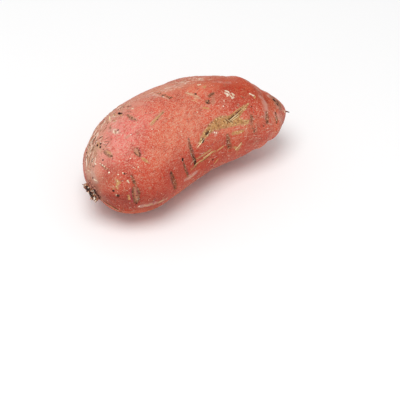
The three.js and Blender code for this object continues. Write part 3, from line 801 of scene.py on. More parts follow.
def enclosed(points: Array, corners: Array) -> Array:
    """Tells which points of a plane lie inside an outline.

    Args:
        points: The points.
        corners: The outline's corners, in order.

    Returns:
        Whether each point lies inside.
    """
    inside = np.zeros(len(points), bool)
    for start, end in zip(corners, np.roll(corners, -1, axis=0)):
        line = end - start
        crosses = (start[1] > points[:, 1]) != (end[1] > points[:, 1])
        level = start[0] + (points[:, 1] - start[1]) * line[0] / (line[1] or TINY)
        inside ^= crosses & (points[:, 0] < level)
    return inside


def softened(line: Array) -> Array:
    """Rounds a line's corners a little and keeps its two ends."""
    return np.concatenate([line[:1], (line[:-2] + 2 * line[1:-1] + line[2:]) / 4, line[-1:]])


@dataclass(frozen=True)
class BodyForm:
    """The root's form in millimetres, counted from its stalk end, before it is moved to its place.

    Its sections are spread by an angle of 0 to PI along it, which gives both ends their round caps.
    """

    length: float = 163.0
    place: tuple[float, float, float] = (-79.4, 0.5, 0.4)
    sections: tuple[Section, ...] = SECTIONS
    dents: tuple[Dent, ...] = SCARS + SCARS_BEHIND + HOLLOWS
    bands: tuple[Band, ...] = BANDS
    band_top: float = math.radians(130)
    stalk_foot: tuple[float, float, float] = (1.5, -13.2, 27.8)
    stalk_lean: tuple[float, float, float] = (-1, 0, -0.385)
    fold_count: int = 7
    fold_depth: float = 0.55
    fold_reach: float = 13.0
    fold_start: float = 8.0
    spot_corners: tuple[tuple[float, float], ...] = ((-37, -6.5), (-6, -6.3), (25, 0.5), (8, 15), (-20, 10))
    spot_proud: float = 0.12
    lobe: float = 0.012
    dent_reach: float = 3.0

    def angle(self, at: Array | float) -> Array:
        """Turns millimetres from the stalk end into the angle along the body."""
        return np.arccos(np.clip(1 - 2 * np.asarray(at, float) / self.length, -1, 1))

    def _size(self, name: str, along: Array) -> Array:
        """Gives one of the sections' sizes, on a smooth curve through them.

        Args:
            name: The size.
            along: Angles along the body.

        Returns:
            The size at each angle.
        """
        knots = self.angle([s.at for s in self.sections])
        values = np.array([getattr(s, name) for s in self.sections], float)
        steps = np.diff(knots)
        rises = np.diff(values) / steps
        inner = (rises[:-1] * steps[1:] + rises[1:] * steps[:-1]) / (steps[:-1] + steps[1:])
        slopes = np.concatenate([rises[:1], inner, rises[-1:]])
        i = np.clip(np.searchsorted(knots, along, side="right") - 1, 0, len(steps) - 1)
        u = (along - knots[i]) / steps[i]
        start, end = (1 + 2 * u) * (1 - u) ** 2, u * u * (3 - 2 * u)
        leave, arrive = u * (1 - u) ** 2 * steps[i], u * u * (u - 1) * steps[i]
        return start * values[i] + leave * slopes[i] + end * values[i + 1] + arrive * slopes[i + 1]

    def centre(self, along: Array) -> Array:
        """Gives the middle of the section at angles along the body."""
        at = self.length / 2 * (1 - np.cos(along))
        return np.stack([at, self._size("side", along), self._size("lift", along)], -1)

    def smooth(self, along: Array, around: Array) -> Array:
        """Gives points of the body without its relief.

        Args:
            along: Angles along the body, from 0 to PI.
            around: Angles round it, from +Y towards +Z.

        Returns:
            The points, in millimetres.
        """
        two = self.lobe * np.cos(2 * around + 0.6 + 0.8 * np.sin(along))
        three = self.lobe * np.cos(3 * around + 1.1 + 1.5 * along / math.pi)
        half = (1 + two + three) / 2
        spread = [np.zeros_like(half), self._size("width", along) * np.cos(around)]
        spread.append(self._size("height", along) * np.sin(around))
        return self.centre(along) + np.stack(spread, -1) * half[..., None]

    def axes(self, along: Array, around: Array) -> tuple[Array, Array, Array]:
        """Gives the skin's directions, without its relief.

        Args:
            along: Angles along the body.
            around: Angles round it.

        Returns:
            The directions along the skin, round it and out of it.
        """
        step = 1e-3
        clear = np.clip(along, 2 * step, math.pi - 2 * step)
        ahead = unit(self.smooth(clear + step, around) - self.smooth(clear - step, around))
        beside = unit(self.smooth(clear, around + step) - self.smooth(clear, around - step))
        return ahead, beside, -unit(np.cross(ahead, beside))

    def spot(self, at: Array | float, around: Array | float) -> tuple[Array, Array, Array, Array]:
        """Gives the point at a place on the skin and the three directions there."""
        along, turn = np.broadcast_arrays(self.angle(at), np.radians(around))
        return (self.smooth(along, turn), *self.axes(along, turn))

    def relief(self, points: Array, around: Array) -> Array:
        """Works out how far the skin stands out of the smooth body.

        Args:
            points: Points of the smooth body.
            around: Their angles round it.

        Returns:
            The rise at each point, in millimetres.
        """
        rise = np.zeros(len(points))
        for dent in self.dents:
            middle, ahead, beside, _ = self.spot(dent.at, dent.around)
            turn = math.radians(dent.turn)
            lengthways = ahead * math.cos(turn) + beside * math.sin(turn)
            sideways = beside * math.cos(turn) - ahead * math.sin(turn)
            far = ((points - middle) ** 2).sum(1)
            near = np.nonzero(far < (self.dent_reach * dent.long) ** 2)[0]
            u, v = (points[near] - middle) @ lengthways, (points[near] - middle) @ sideways
            off = np.maximum(0, far[near] - u * u - v * v)
            rise[near] -= dent.depth * np.exp(-(u * u + off) / dent.long**2 - v * v / dent.wide**2)
        for band in self.bands:
            middle = band.at + band.lean * np.cos(around - self.band_top)
            rise += band.rise * np.exp(-(((points[:, 0] - middle) / band.width) ** 2))
        out = points - np.array(self.stalk_foot)
        far = np.linalg.norm(out, axis=1)
        fade = np.exp(-(((far - self.fold_start) / self.fold_reach) ** 2))
        return rise + self.fold_depth * fade * np.cos(self.fold_count * np.arctan2(out[:, 2], out[:, 1]))

    def on_skin(self, at: Array, around: Array, lift: Array | float) -> Array:
        """Gives the points at places on the skin with its relief.

        Args:
            at: Millimetres from the stalk end.
            around: Degrees round the root.
            lift: How far above the skin they are, in millimetres.

        Returns:
            The points.
        """
        middle, _, _, out = self.spot(at, around)
        return middle + out * (self.relief(middle, np.radians(around)) + lift)[:, None]

    def laid(self, path: Sequence[Sequence[float]], step: float = 3.0) -> tuple[Array, Array]:
        """Lays a line of places on the smooth body.

        Args:
            path: The places, each with a half width.
            step: How far apart the line's points may be, in millimetres.

        Returns:
            The line's points and its half widths there.
        """
        knots = np.array(path, float)
        rows = [knots[:1]]
        for before, after in zip(knots[:-1], knots[1:]):
            apart = np.linalg.norm(self.spot(before[0], before[1])[0] - self.spot(after[0], after[1])[0])
            parts = max(1, math.ceil(apart / step))
            rows.append(before + (after - before) * (np.arange(1, parts + 1) / parts)[:, None])
        laid = np.concatenate(rows)
        return self.spot(laid[:, 0], laid[:, 1])[0], laid[:, 2]

    def rested(self, points: Array) -> Array:
        """Presses placed points flat where the root lies, as its flat spot is.

        Args:
            points: Points in the root's place, in millimetres.

        Returns:
            The pressed points.
        """
        corners = np.array(self.spot_corners, float)
        inside = np.ones(len(points), bool)
        for start, end in zip(corners, np.roll(corners, -1, axis=0)):
            edge, off = end - start, points[:, :2] - start
            inside &= edge[0] * off[:, 1] - edge[1] * off[:, 0] >= 0
        pressed = points.copy()
        pressed[:, 2] = np.maximum(points[:, 2], np.where(inside, 0, self.spot_proud))
        return pressed

    def placed(self, points: Array) -> Array:
        """Moves points to the root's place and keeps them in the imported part's box."""
        low, high = (np.array(corner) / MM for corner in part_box(NODE))
        return np.clip(self.rested(points + np.array(self.place)), low, high)


class Shell:
    """Closed surfaces, each made of loops of points between two end points, and the values stored on them."""

    def __init__(self) -> None:
        """Starts with no surface."""
        self.points: list[Array] = []
        self.faces: list[list[int]] = []
        self.corners: list[Array] = []
        self.values: dict[str, list[Array]] = {}
        self.count = 0

    def add(
        self,
        start: Array,
        loops: Array,
        end: Array,
        values: Mapping[str, Array | float] | None = None,
        heights: Array | None = None,
    ) -> None:
        """Adds a surface.

        Args:
            start: Its first point.
            loops: Its loops of points, each going round the way from the first to the last by the right hand.
            end: Its last point.
            values: What to store at its points, by name, either for each point or one for all.
            heights: The rows' places in a flat map of the surface, if it needs one.
        """
        rows, sides, _ = loops.shape
        grid = self.count + 1 + np.arange(rows * sides).reshape(rows, sides)
        turned = np.roll(grid, -1, axis=1)
        first, last = np.full(sides, self.count), np.full(sides, self.count + 1 + rows * sides)
        quads = np.stack([grid[:-1], turned[:-1], turned[1:], grid[1:]], -1).reshape(-1, 4)
        self.faces += np.stack([first, turned[0], grid[0]], -1).tolist()
        self.faces += quads.tolist()
        self.faces += np.stack([last, grid[-1], turned[-1]], -1).tolist()
        self.points.append(np.concatenate([start[None], loops.reshape(-1, 3), end[None]]))
        number = len(self.points[-1])
        self.count += number
        for name, value in (values or {}).items():
            self.values.setdefault(name, []).append(np.broadcast_to(value, (number, *np.shape(value)[1:])))
        if heights is not None:
            self._map(sides, heights)

    def _map(self, sides: int, heights: Array) -> None:
        """Lays the last surface flat, cut open along its first side.

        Args:
            sides: How many points each of its loops has.
            heights: The rows' places, from the first point to the last.
        """
        left = np.arange(sides) / sides
        right, middle = left + 1 / sides, left + 0.5 / sides
        low, high = np.full(sides, heights[0]), np.full(sides, heights[1])
        fan = np.stack([middle, low, right, high, left, high], -1)
        below, above = np.repeat(heights[1:-2], sides), np.repeat(heights[2:-1], sides)
        lefts, rights = np.tile(left, len(heights) - 3), np.tile(right, len(heights) - 3)
        strips = np.stack([lefts, below, rights, below, rights, above, lefts, above], -1)
        low, high = np.full(sides, heights[-2]), np.full(sides, heights[-1])
        close = np.stack([middle, high, left, low, right, low], -1)
        flat = np.concatenate([fan.ravel(), strips.ravel(), close.ravel()])
        self.corners.append(MAP_EDGE + (1 - 2 * MAP_EDGE) * flat)

    def into(self, name: str, form: BodyForm, material: bpy.types.Material) -> bpy.types.Object:
        """Makes the object.

        Args:
            name: Its name.
            form: The body, which knows the root's place.
            material: What it is made of.

        Returns:
            The object, with smooth faces, riding on the root's body.
        """
        mesh = bpy.data.meshes.new(name)
        mesh.from_pydata((form.placed(np.concatenate(self.points)) * MM).tolist(), [], self.faces)
        mesh.polygons.foreach_set("use_smooth", np.ones(len(mesh.polygons), bool))
        for label, parts in self.values.items():
            values = np.concatenate(parts).astype(np.float32)
            kind, slot = ("FLOAT_VECTOR", "vector") if values.ndim > 1 else ("FLOAT", "value")
            mesh.attributes.new(label, kind, "POINT").data.foreach_set(slot, values.ravel())
        if self.corners:
            mesh.uv_layers.new(name=BAKE_MAP).uv.foreach_set("vector", np.concatenate(self.corners).astype(np.float32))
        mesh.materials.append(material)
        mesh.update()
        piece = bpy.data.objects.new(name, mesh)
        bpy.context.scene.collection.objects.link(piece)
        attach(piece, BODY)
        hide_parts(NODE)
        log.info("%s: %d points, %d faces", name, self.count, len(self.faces))
        return piece


# Where a tube's rings start, and how far its two ends stand out, in shares of their radius
ASIDE = np.array([0.31, 0.62, 0.72])
FIRST_CAP = 0.5
LAST_CAP = 0.8


def tube(shell: Shell, path: Array, radii: Array, sides: int, values: Mapping[str, Array | float]) -> None:
    """Adds a closed tube along a path to a shell.

    Args:
        shell: The shell to add to.
        path: The tube's middle points.
        radii: Its radius at each of them.
        sides: How many sides it has.
        values: What to store on it, one value for each of the path's points or one for all.
    """
    ways = unit(np.gradient(path, axis=0))
    across = unit(ASIDE - (ways @ ASIDE)[:, None] * ways)
    other = np.cross(ways, across)
    turn = np.arange(sides) * 2 * math.pi / sides
    ring = np.cos(turn)[None, :, None] * across[:, None] + np.sin(turn)[None, :, None] * other[:, None]
    loops = path[:, None] + ring * radii[:, None, None]
    spread = {
        name: np.concatenate([value[:1], np.repeat(value, sides, axis=0), value[-1:]]) if np.ndim(value) else value
        for name, value in values.items()
    }
    start, end = path[0] - ways[0] * radii[0] * FIRST_CAP, path[-1] + ways[-1] * radii[-1] * LAST_CAP
    shell.add(start, loops, end, spread)


class MarksBehind:
    """Marks like those of the side in view, scattered over the back, the underside and the hidden ends."""

    root_radius: float = 38.0
    flecks: int = 230
    along: tuple[float, float] = (3, 160)
    hidden: tuple[float, float] = (226, 402)

    def __init__(self, seed: int) -> None:
        """Sets where the scatter starts."""
        self.chance = random.Random(seed)

    def scar(self, dent: Dent) -> list[Mark]:
        """Marks one root scar.

        Args:
            dent: The scar's dent.

        Returns:
            Its torn crease, its hole, the rosy skin beside it and a crumb.
        """
        between = self.chance.uniform
        half = math.degrees(dent.long / self.root_radius)
        bend, slip = between(-1.2, 1.2), between(-1.5, 1.5)
        crease = [(-1, 0.5), (-0.45, 1.0), (0.1, between(1.0, 1.6)), (0.6, 1.0), (1, 0.5)]
        path = tuple((dent.at + bend * s * s + 0.4 * slip * s, dent.around + half * s, w) for s, w in crease)
        rosy = tuple((a + 2.1, b, 0.7) for a, b, _ in path[1:4])
        hole = (dent.at + between(-0.5, 0.5), dent.around + half * between(-0.5, 0.5), between(0.5, 0.9))
        crumb = (dent.at - 2 + slip, dent.around + half * between(-0.8, 0.8), between(0.4, 0.6))
        marks = [Mark(Tissue.BARK, path, -0.5, between(0.8, 1)), Mark(Tissue.HOLE, (hole,), -0.5, 1)]
        return marks + [Mark(Tissue.ROSE, rosy, 0, 0.9), Mark(Tissue.CREAM, (crumb,), 0.25, 0.9)]

    def fleck(self) -> Mark:
        """Makes one small mark of a kind that chance picks.

        Returns:
            The mark.
        """
        between = self.chance.uniform
        at, around, kind = between(*self.along), between(*self.hidden), self.chance.random()
        if kind < 0.42:
            return Mark(Tissue.CREAM, ((at, around, between(0.35, 0.65)),), 0.3, between(0.6, 1))
        if kind < 0.62:
            return Mark(Tissue.HOLE, ((at, around, between(0.35, 0.75)),), -0.3, between(0.7, 1))
        if kind < 0.78:
            end = (at + between(-1, 1), around + between(3, 9), 0.4)
            return Mark(Tissue.BARK, ((at, around, 0.5), end), -0.25, between(0.5, 0.9))
        if kind < 0.9:
            end = (at + between(3, 9), around + between(-3, 3), 0.8)
            return Mark(Tissue.ASH, ((at, around, between(0.7, 1.2)), end), 0.05, between(0.6, 1))
        end = (at + between(1, 5), around + between(-4, 4), 0.7)
        return Mark(Tissue.CORK, ((at, around, between(0.8, 1.6)), end), 0.05, between(0.6, 1))

    def all(self) -> list[Mark]:
        """Makes every mark of the hidden sides."""
        marks = [mark for dent in SCARS_BEHIND for mark in self.scar(dent)]
        return marks + [self.fleck() for _ in range(self.flecks)]


ALL_MARKS = (*MARKS, *MarksBehind(seed=23).all())


class Marking:
    """What the marks and tones come to at the skin's points."""

    mark_reach: float = 2.6

    def __init__(self, form: BodyForm, points: Array, along: Array, around: Array) -> None:
        """Takes the smooth body's points.

        Args:
            form: The body.
            points: Its points.
            along: Their angles along it.
            around: Their angles round it.
        """
        self.form = form
        self.points = points
        self.at = form.length / 2 * (1 - np.cos(along))
        self.around = around
        self.rise = np.zeros(len(points))
        self.shares = {kind.value: np.zeros(len(points)) for kind in (*Tissue, *Zone)}

    def mark(self, mark: Mark, finest: float) -> None:
        """Lays one mark on the skin.

        Args:
            mark: The mark.
            finest: The least half width that the mesh can hold, in millimetres.
        """
        knots, widths = self.form.laid(mark.path)
        held = np.maximum(widths, finest)
        middle = knots.mean(0)
        reach = np.linalg.norm(knots - middle, axis=1).max() + self.mark_reach * held.max()
        near = np.nonzero(((self.points - middle) ** 2).sum(1) < reach**2)[0]
        if not len(near):
            return
        share = np.zeros(len(near))
        ends = range(len(knots) - 1) if len(knots) > 1 else [0]
        for i in ends:
            j = min(i + 1, len(knots) - 1)
            line, off = knots[j] - knots[i], self.points[near] - knots[i]
            t = np.clip(off @ line / max(line @ line, TINY), 0, 1)
            far = np.linalg.norm(off - t[:, None] * line, axis=1)
            wide = held[i] + t * (held[j] - held[i])
            thin = (widths[i] + t * (widths[j] - widths[i])) / wide
            share = np.maximum(share, thin * 2 ** -((far / wide) ** 2))
        kept = self.shares[mark.tissue.value]
        kept[near] = np.maximum(kept[near], share * mark.amount)
        self.rise[near] += mark.rise * share

    def tone(self, tone: Tone) -> None:
        """Lays one broad tone on the skin.

        Args:
            tone: The tone.
        """
        turn = (np.degrees(self.around) - tone.around + 180) % 360 - 180
        share = tone.amount * np.exp(-(((self.at - tone.at) / tone.long) ** 2) - (turn / tone.spread) ** 2)
        kept = self.shares[tone.zone.value]
        kept[:] = 1 - (1 - kept) * (1 - share)

    def collar(self, reach: float = 12.0) -> None:
        """Marks the wrinkled skin round the stalk, out to about a reach in millimetres."""
        far = np.linalg.norm(self.points - np.array(self.form.stalk_foot), axis=1)
        self.shares[Zone.COLLAR.value] = np.exp(-((far / reach) ** 4))

    def graze(
        self,
        outline: Sequence[tuple[float, float]],
        soft: float = 2.2,
        depth: float = 0.22,
        reach: float = 32.0,
        behind: float = 14.0,
    ) -> None:
        """Lays a corky graze on the skin.

        Args:
            outline: Its outline, as places on the skin.
            soft: How wide its edge is, in millimetres.
            depth: How deep it is.
            reach: How far from its middle the skin is looked at.
            behind: How far below its middle.
        """
        places = np.array(outline, float)
        middle, ahead, beside, out = self.form.spot(places[:, 0].mean(), places[:, 1].mean())
        edge = self.form.spot(places[:, 0], places[:, 1])[0] - middle
        off = self.points - middle
        near = np.nonzero(((off**2).sum(1) < reach**2) & (off @ out > -behind))[0]
        corners = np.stack([edge @ ahead, edge @ beside], -1)
        flat = np.stack([off[near] @ ahead, off[near] @ beside], -1)
        closest = np.full(len(near), math.inf)
        for start, end in zip(corners, np.roll(corners, -1, axis=0)):
            line, gap = end - start, flat - start
            t = np.clip(gap @ line / (line @ line), 0, 1)
            closest = np.minimum(closest, np.linalg.norm(gap - t[:, None] * line, axis=1))
        share = np.clip(0.5 + np.where(enclosed(flat, corners), closest, -closest) / (2 * soft), 0, 1)
        kept = self.shares[Tissue.CORK.value]
        kept[near] = np.maximum(kept[near], share)
        self.rise[near] -= depth * share


@dataclass(frozen=True)
class SkinFinish:
    """The skin's colours and its satin, from its broad tones, among them painted sheen, shade and bounced light, down
    to its grain, its pores and its scars.
    """

    warm: str = "cc563d"
    pale: str = "d87454"
    deep: str = "b0402b"
    # The pink that also paints the sheen on the upper side
    blush: str = "e8968f"
    ember: str = "b83e22"
    # Multiplied over the painted shade and the darker maroon tone
    dusk: str = "c3a2a0"
    dust: str = "dfb79d"
    soil: str = "a06c4c"
    straw: str = "c87d52"
    salmon: str = "e28e6e"
    # Multiplied over the painted warm bounce light and the warmer tone
    rust: str = "ffe2b4"
    hatch: str = "ffb8b0"
    glint: str = "dda48c"
    pore: str = "f4d2be"
    speck: str = "6a2a26"
    ash: str = "d2a687"
    haze: str = "d6a698"
    flush: str = "fcd4cc"
    rose: str = "a8324a"
    cork: str = "d29758"
    cork_pale: str = "e5b981"
    cork_dark: str = "a76d49"
    bark: str = "ad7854"
    bark_dark: str = "5f3826"
    collar: str = "b07a66"
    cream: str = "f5e4cb"
    hole: str = "2a1114"

    def material(self) -> bpy.types.Material:
        """Builds the skin's material.

        Returns:
            The material.
        """
        board = Board("sweet_potato_skin")
        grown = board.attribute("grown", "Vector")
        share = {kind: board.attribute(kind.value) for kind in (*Tissue, *Zone)}
        broad = board.noise(grown, 0.05, 3.0, 0.55, 0.3)
        mottle = board.noise(grown, 0.28, 4.0, 0.62)
        grain = board.noise(grown, 1.15, 3.0, 0.75)
        grit = board.noise(grown, 1.75, 2.0, 0.85)
        runs = board.noise(board.stretched(grown, (0.34, 1.0, 1.0)), 1.05, 4.0, 0.7, 0.4)
        rings = board.noise(board.stretched(grown, (1.0, 0.26, 0.26)), 1.05, 4.0, 0.7, 0.4)
        tail = share[Zone.TAIL].between(0.3, 0.8)
        streaks = runs * (1 - tail) + rings * tail
        fine = streaks * 0.4 + grain * 0.46 + grit * 0.14
        patchy = (mottle * 2.4 - 0.4).at_least(0.0).at_most(1.0)
        calm = 1 - share[Zone.EMBER] * 0.6
        pores = board.cells(grown, 0.36).between(0.2, 0.08) * mottle.between(0.44, 0.6)
        pores = pores * board.red_of(board.cells(grown, 0.36, output="Color")).between(0.5, 0.55)
        specks = board.cells(grown, 0.15).between(0.11, 0.05)
        specks = specks * board.red_of(board.cells(grown, 0.15, output="Color")).between(0.55, 0.6)
        ragged = (grain - 0.5) * 2.4 + (mottle - 0.5) * 1.4 + (grit - 0.5) * 2.2
        ash, haze, rose, cork, bark, torn, cream, hole = (
            (share[kind] * (1 + ragged * uneven)).between(low, high)
            for kind, uneven, low, high in (
                (ASH, 2, 0.3, 0.75),
                (HAZE, 2.4, 0.2, 0.95),
                (ROSE, 1, 0.35, 0.8),
                (CORK, 1.5, 0.38, 0.52),
                (BARK, 2, 0.22, 0.56),
                (BARK, 2.2, 0.45, 0.75),
                (CREAM, 0.8, 0.42, 0.6),
                (HOLE, 0.4, 0.34, 0.56),
            )
        )
        corky = (
            (self.cork_pale, fine.between(0.49, 0.55)),
            (self.cork_dark, mottle.between(0.53, 0.62) * 0.7),
            (self.cork_dark, grit.between(0.55, 0.63) * 0.7),
        )
        layers = (
            # Pinker skin and painted sheen on the upper side by the stalk end
            (self.blush, share[Zone.BLUSH] * patchy),
            (self.ember, share[Zone.EMBER] * patchy),
            (self.straw, share[Zone.STRAW] * patchy),
            (self.salmon, share[Zone.SALMON] * patchy),
            (self.hatch, fine.between(0.495, 0.555), "MULTIPLY"),
            (self.glint, fine.between(0.49, 0.43) * calm * 0.8),
            (self.glint, grit.between(0.45, 0.35) * calm),
            (self.flush, grit.between(0.53, 0.62), "MULTIPLY"),
            # Painted shade and the darker maroon tone, multiplied in
            (self.dusk, share[Zone.DUSK] * (mottle * 1.6).at_most(1.0), "MULTIPLY"),
            # Painted warm bounce light and the warmer tone, multiplied in
            (self.rust, share[Zone.RUST], "MULTIPLY"),
            (self.collar, share[Zone.COLLAR] * (mottle * 2.4 - 0.2).at_most(1.0)),
            (self.dust, share[Zone.DUST] * runs.between(0.42, 0.54) * 0.8),
            (self.soil, share[Zone.DUST] * fine.between(0.51, 0.56) * 0.5),
            (self.pore, pores * 0.6),
            (self.speck, specks * 0.7),
            (self.ash, ash * 0.6),
            (self.haze, haze * 0.65),
            (self.rose, rose * 0.6),
            (board.layered(self.cork, corky), cork * 0.95),
            (self.bark, bark * (0.3 + grit.between(0.44, 0.56) * 0.35)),
            (self.bark_dark, torn * grit.between(0.42, 0.54) * 0.5),
            (self.cream, cream * 0.8),
            (self.hole, hole),
        )
        ground = board.ramp(broad + (mottle - 0.5) * 0.5, [(0.36, self.deep), (0.5, self.warm), (0.64, self.pale)])
        dry = cork.at_least(bark).at_least(cream).at_least(ash)
        rough = 0.5 + (grain - 0.5) * 0.4 + dry * 0.34
        height = streaks * 0.6 + grain * 0.5 + mottle * 0.6 + dry * grain * 0.8 + pores * 0.2 - hole * 0.6
        normal = board.bumped(height + grit * 0.3, 0.0007, 0.65)
        return board.finished(board.layered(ground, layers), rough.at_least(0.3).at_most(0.95), normal, 0.22)


@dataclass(frozen=True)
class StubFinish:
    """The broken stalk's skin and wood: a wrinkled reddish neck with painted shade in the crease at its foot, a dark
    torn rim with pale wood and painted glints, a dark pith that also paints the shade in its hollow.
    """

    neck: str = "9a5442"
    neck_pale: str = "cc8f7c"
    crack_and_shade: str = "2c1412"
    rim: str = "8a4f38"
    rim_pale_and_glint: str = "f0dcc2"
    ochre: str = "b86a38"
    pith: str = "3d241c"
    rough: float = 0.78

    def material(self) -> bpy.types.Material:
        """Builds the stub's material.

        Returns:
            The material.
        """
        board = Board("stalk_wood")
        place = board.attribute("place", "Vector")
        torn, inner, foot = board.attribute("torn"), board.attribute("inner"), board.attribute("foot")
        strands = board.noise(board.stretched(place, (1.0, 1.0, 0.3)), 0.9, 3.0, 0.65)
        lumps = board.noise(place, 0.6, 4.0, 0.68)
        fine = board.noise(place, 1.9, 2.0, 0.7)
        cracks = strands.between(0.46, 0.38) * 0.85
        # Painted shade in the crease at the neck's foot, in the dark of the cracks
        crease = (foot * (1 + (lumps - 0.5) * 6)).between(0.7, 1.4) * 0.8
        # The rim's pale specks are partly pale wood and partly painted glints
        rim = ((self.ochre, lumps.between(0.5, 0.6) * 0.8), (self.rim_pale_and_glint, fine.between(0.56, 0.62)))
        # The pith is dark with darker spots, partly its own colour and partly painted shade in its torn hollow
        pith = ((self.neck_pale, fine.between(0.5, 0.62) * 0.8), (self.crack_and_shade, lumps.between(0.48, 0.4) * 0.9))
        layers = (
            (self.neck_pale, (strands * 0.6 + fine * 0.4).between(0.42, 0.58)),
            (self.crack_and_shade, cracks.at_least(crease)),
            (board.layered(self.rim, rim), (torn + (lumps - 0.5) * 1.6).between(0.4, 0.8) * 0.9),
            (board.layered(self.pith, pith), (inner + (lumps - 0.5) * 1.1).between(0.3, 0.7)),
        )
        normal = board.bumped(strands * 0.6 + lumps * 0.6 + fine * 0.4, 0.0008)
        return board.finished(board.layered(self.neck, layers), self.rough, normal, 0.35)


@dataclass(frozen=True)
class FibreFinish:
    """Dry fibres, from dark brown over orange-tan to straw white, by the shade stored on each."""

    dark: str = "24120f"
    brown: str = "8f5038"
    tan: str = "c88458"
    straw: str = "f8e8d4"
    rough: float = 0.78

    def material(self, name: str) -> bpy.types.Material:
        """Builds the fibres' material.

        Args:
            name: Its name.

        Returns:
            The material.
        """
        board = Board(name)
        place = board.attribute("place", "Vector")
        fine = board.noise(board.stretched(place, (1.0, 1.0, 0.4)), 2.4, 3.0, 0.6)
        shade = board.attribute("shade") + (fine - 0.5) * 0.5
        stops = [(0.0, self.dark), (0.35, self.brown), (0.65, self.tan), (1.0, self.straw)]
        return board.finished(board.ramp(shade, stops), self.rough, board.bumped(fine, 0.0003), 0.3)


@dataclass
class Skin:
    """The whole skin of the root in one closed mesh, with its scars, grazes and folds in relief."""

    form: BodyForm
    finish: SkinFinish = SkinFinish()
    rows: int = 256
    sides: int = 384
    finest: float = 0.65

    def _marked(self, points: Array, along: Array, around: Array) -> Marking:
        """Lays every mark and tone on the smooth body.

        Args:
            points: The smooth body's points.
            along: Their angles along it.
            around: Their angles round it.

        Returns:
            What they come to.
        """
        marking = Marking(self.form, points, along, around)
        marking.graze(GRAZE)
        marking.collar()
        for mark in ALL_MARKS:
            marking.mark(mark, self.finest)
        for tone in TONES:
            marking.tone(tone)
        return marking

    def build(self) -> bpy.types.Object:
        """Builds the skin and dresses it.

        Returns:
            The skin.
        """
        ways = np.linspace(0, math.pi, self.rows + 1)
        turns = np.arange(self.sides) * 2 * math.pi / self.sides
        along = np.concatenate([ways[:1], np.repeat(ways[1:-1], self.sides), ways[-1:]])
        around = np.concatenate([[0], np.tile(turns, self.rows - 1), [0]])
        smooth = self.form.smooth(along, around)
        marking = self._marked(smooth, along, around)
        out = self.form.axes(along, around)[2]
        out[0], out[-1] = (-1, 0, 0), (1, 0, 0)
        points = smooth + out * (self.form.relief(smooth, around) + marking.rise)[:, None]
        loops = points[1:-1].reshape(self.rows - 1, self.sides, 3)
        steps = np.linalg.norm(np.diff(loops, axis=0), axis=2).mean(1)
        caps = [np.linalg.norm(loops[i] - points[j], axis=1).mean() for i, j in ((0, 0), (-1, -1))]
        run = np.concatenate([[0], np.cumsum([caps[0], *steps, caps[1]])])
        grown = smooth - self.form.centre(along)
        grown[:, 0] = np.concatenate([run[:1], np.repeat(run[1:-1], self.sides), run[-1:]])
        shell = Shell()
        shell.add(points[0], loops, points[-1], {"grown": grown, **marking.shares}, run / run[-1])
        return shell.into("skin", self.form, self.finish.material())


class StalkFrame:
    """The broken stalk's own frame: rings about its lean, which are moved to the body together."""

    def __init__(self, form: BodyForm) -> None:
        """Works out the turn from the frame's Z to the stalk's lean.

        Args:
            form: The body, which knows the stalk's foot and lean.
        """
        self.foot = np.array(form.stalk_foot)
        turn = Vector((0, 0, 1)).rotation_difference(Vector(form.stalk_lean))
        self.turn = np.array(turn.to_matrix())

    def out(self, points: Array) -> Array:
        """Moves points of the stalk's frame to the body's."""
        return points @ self.turn.T + self.foot


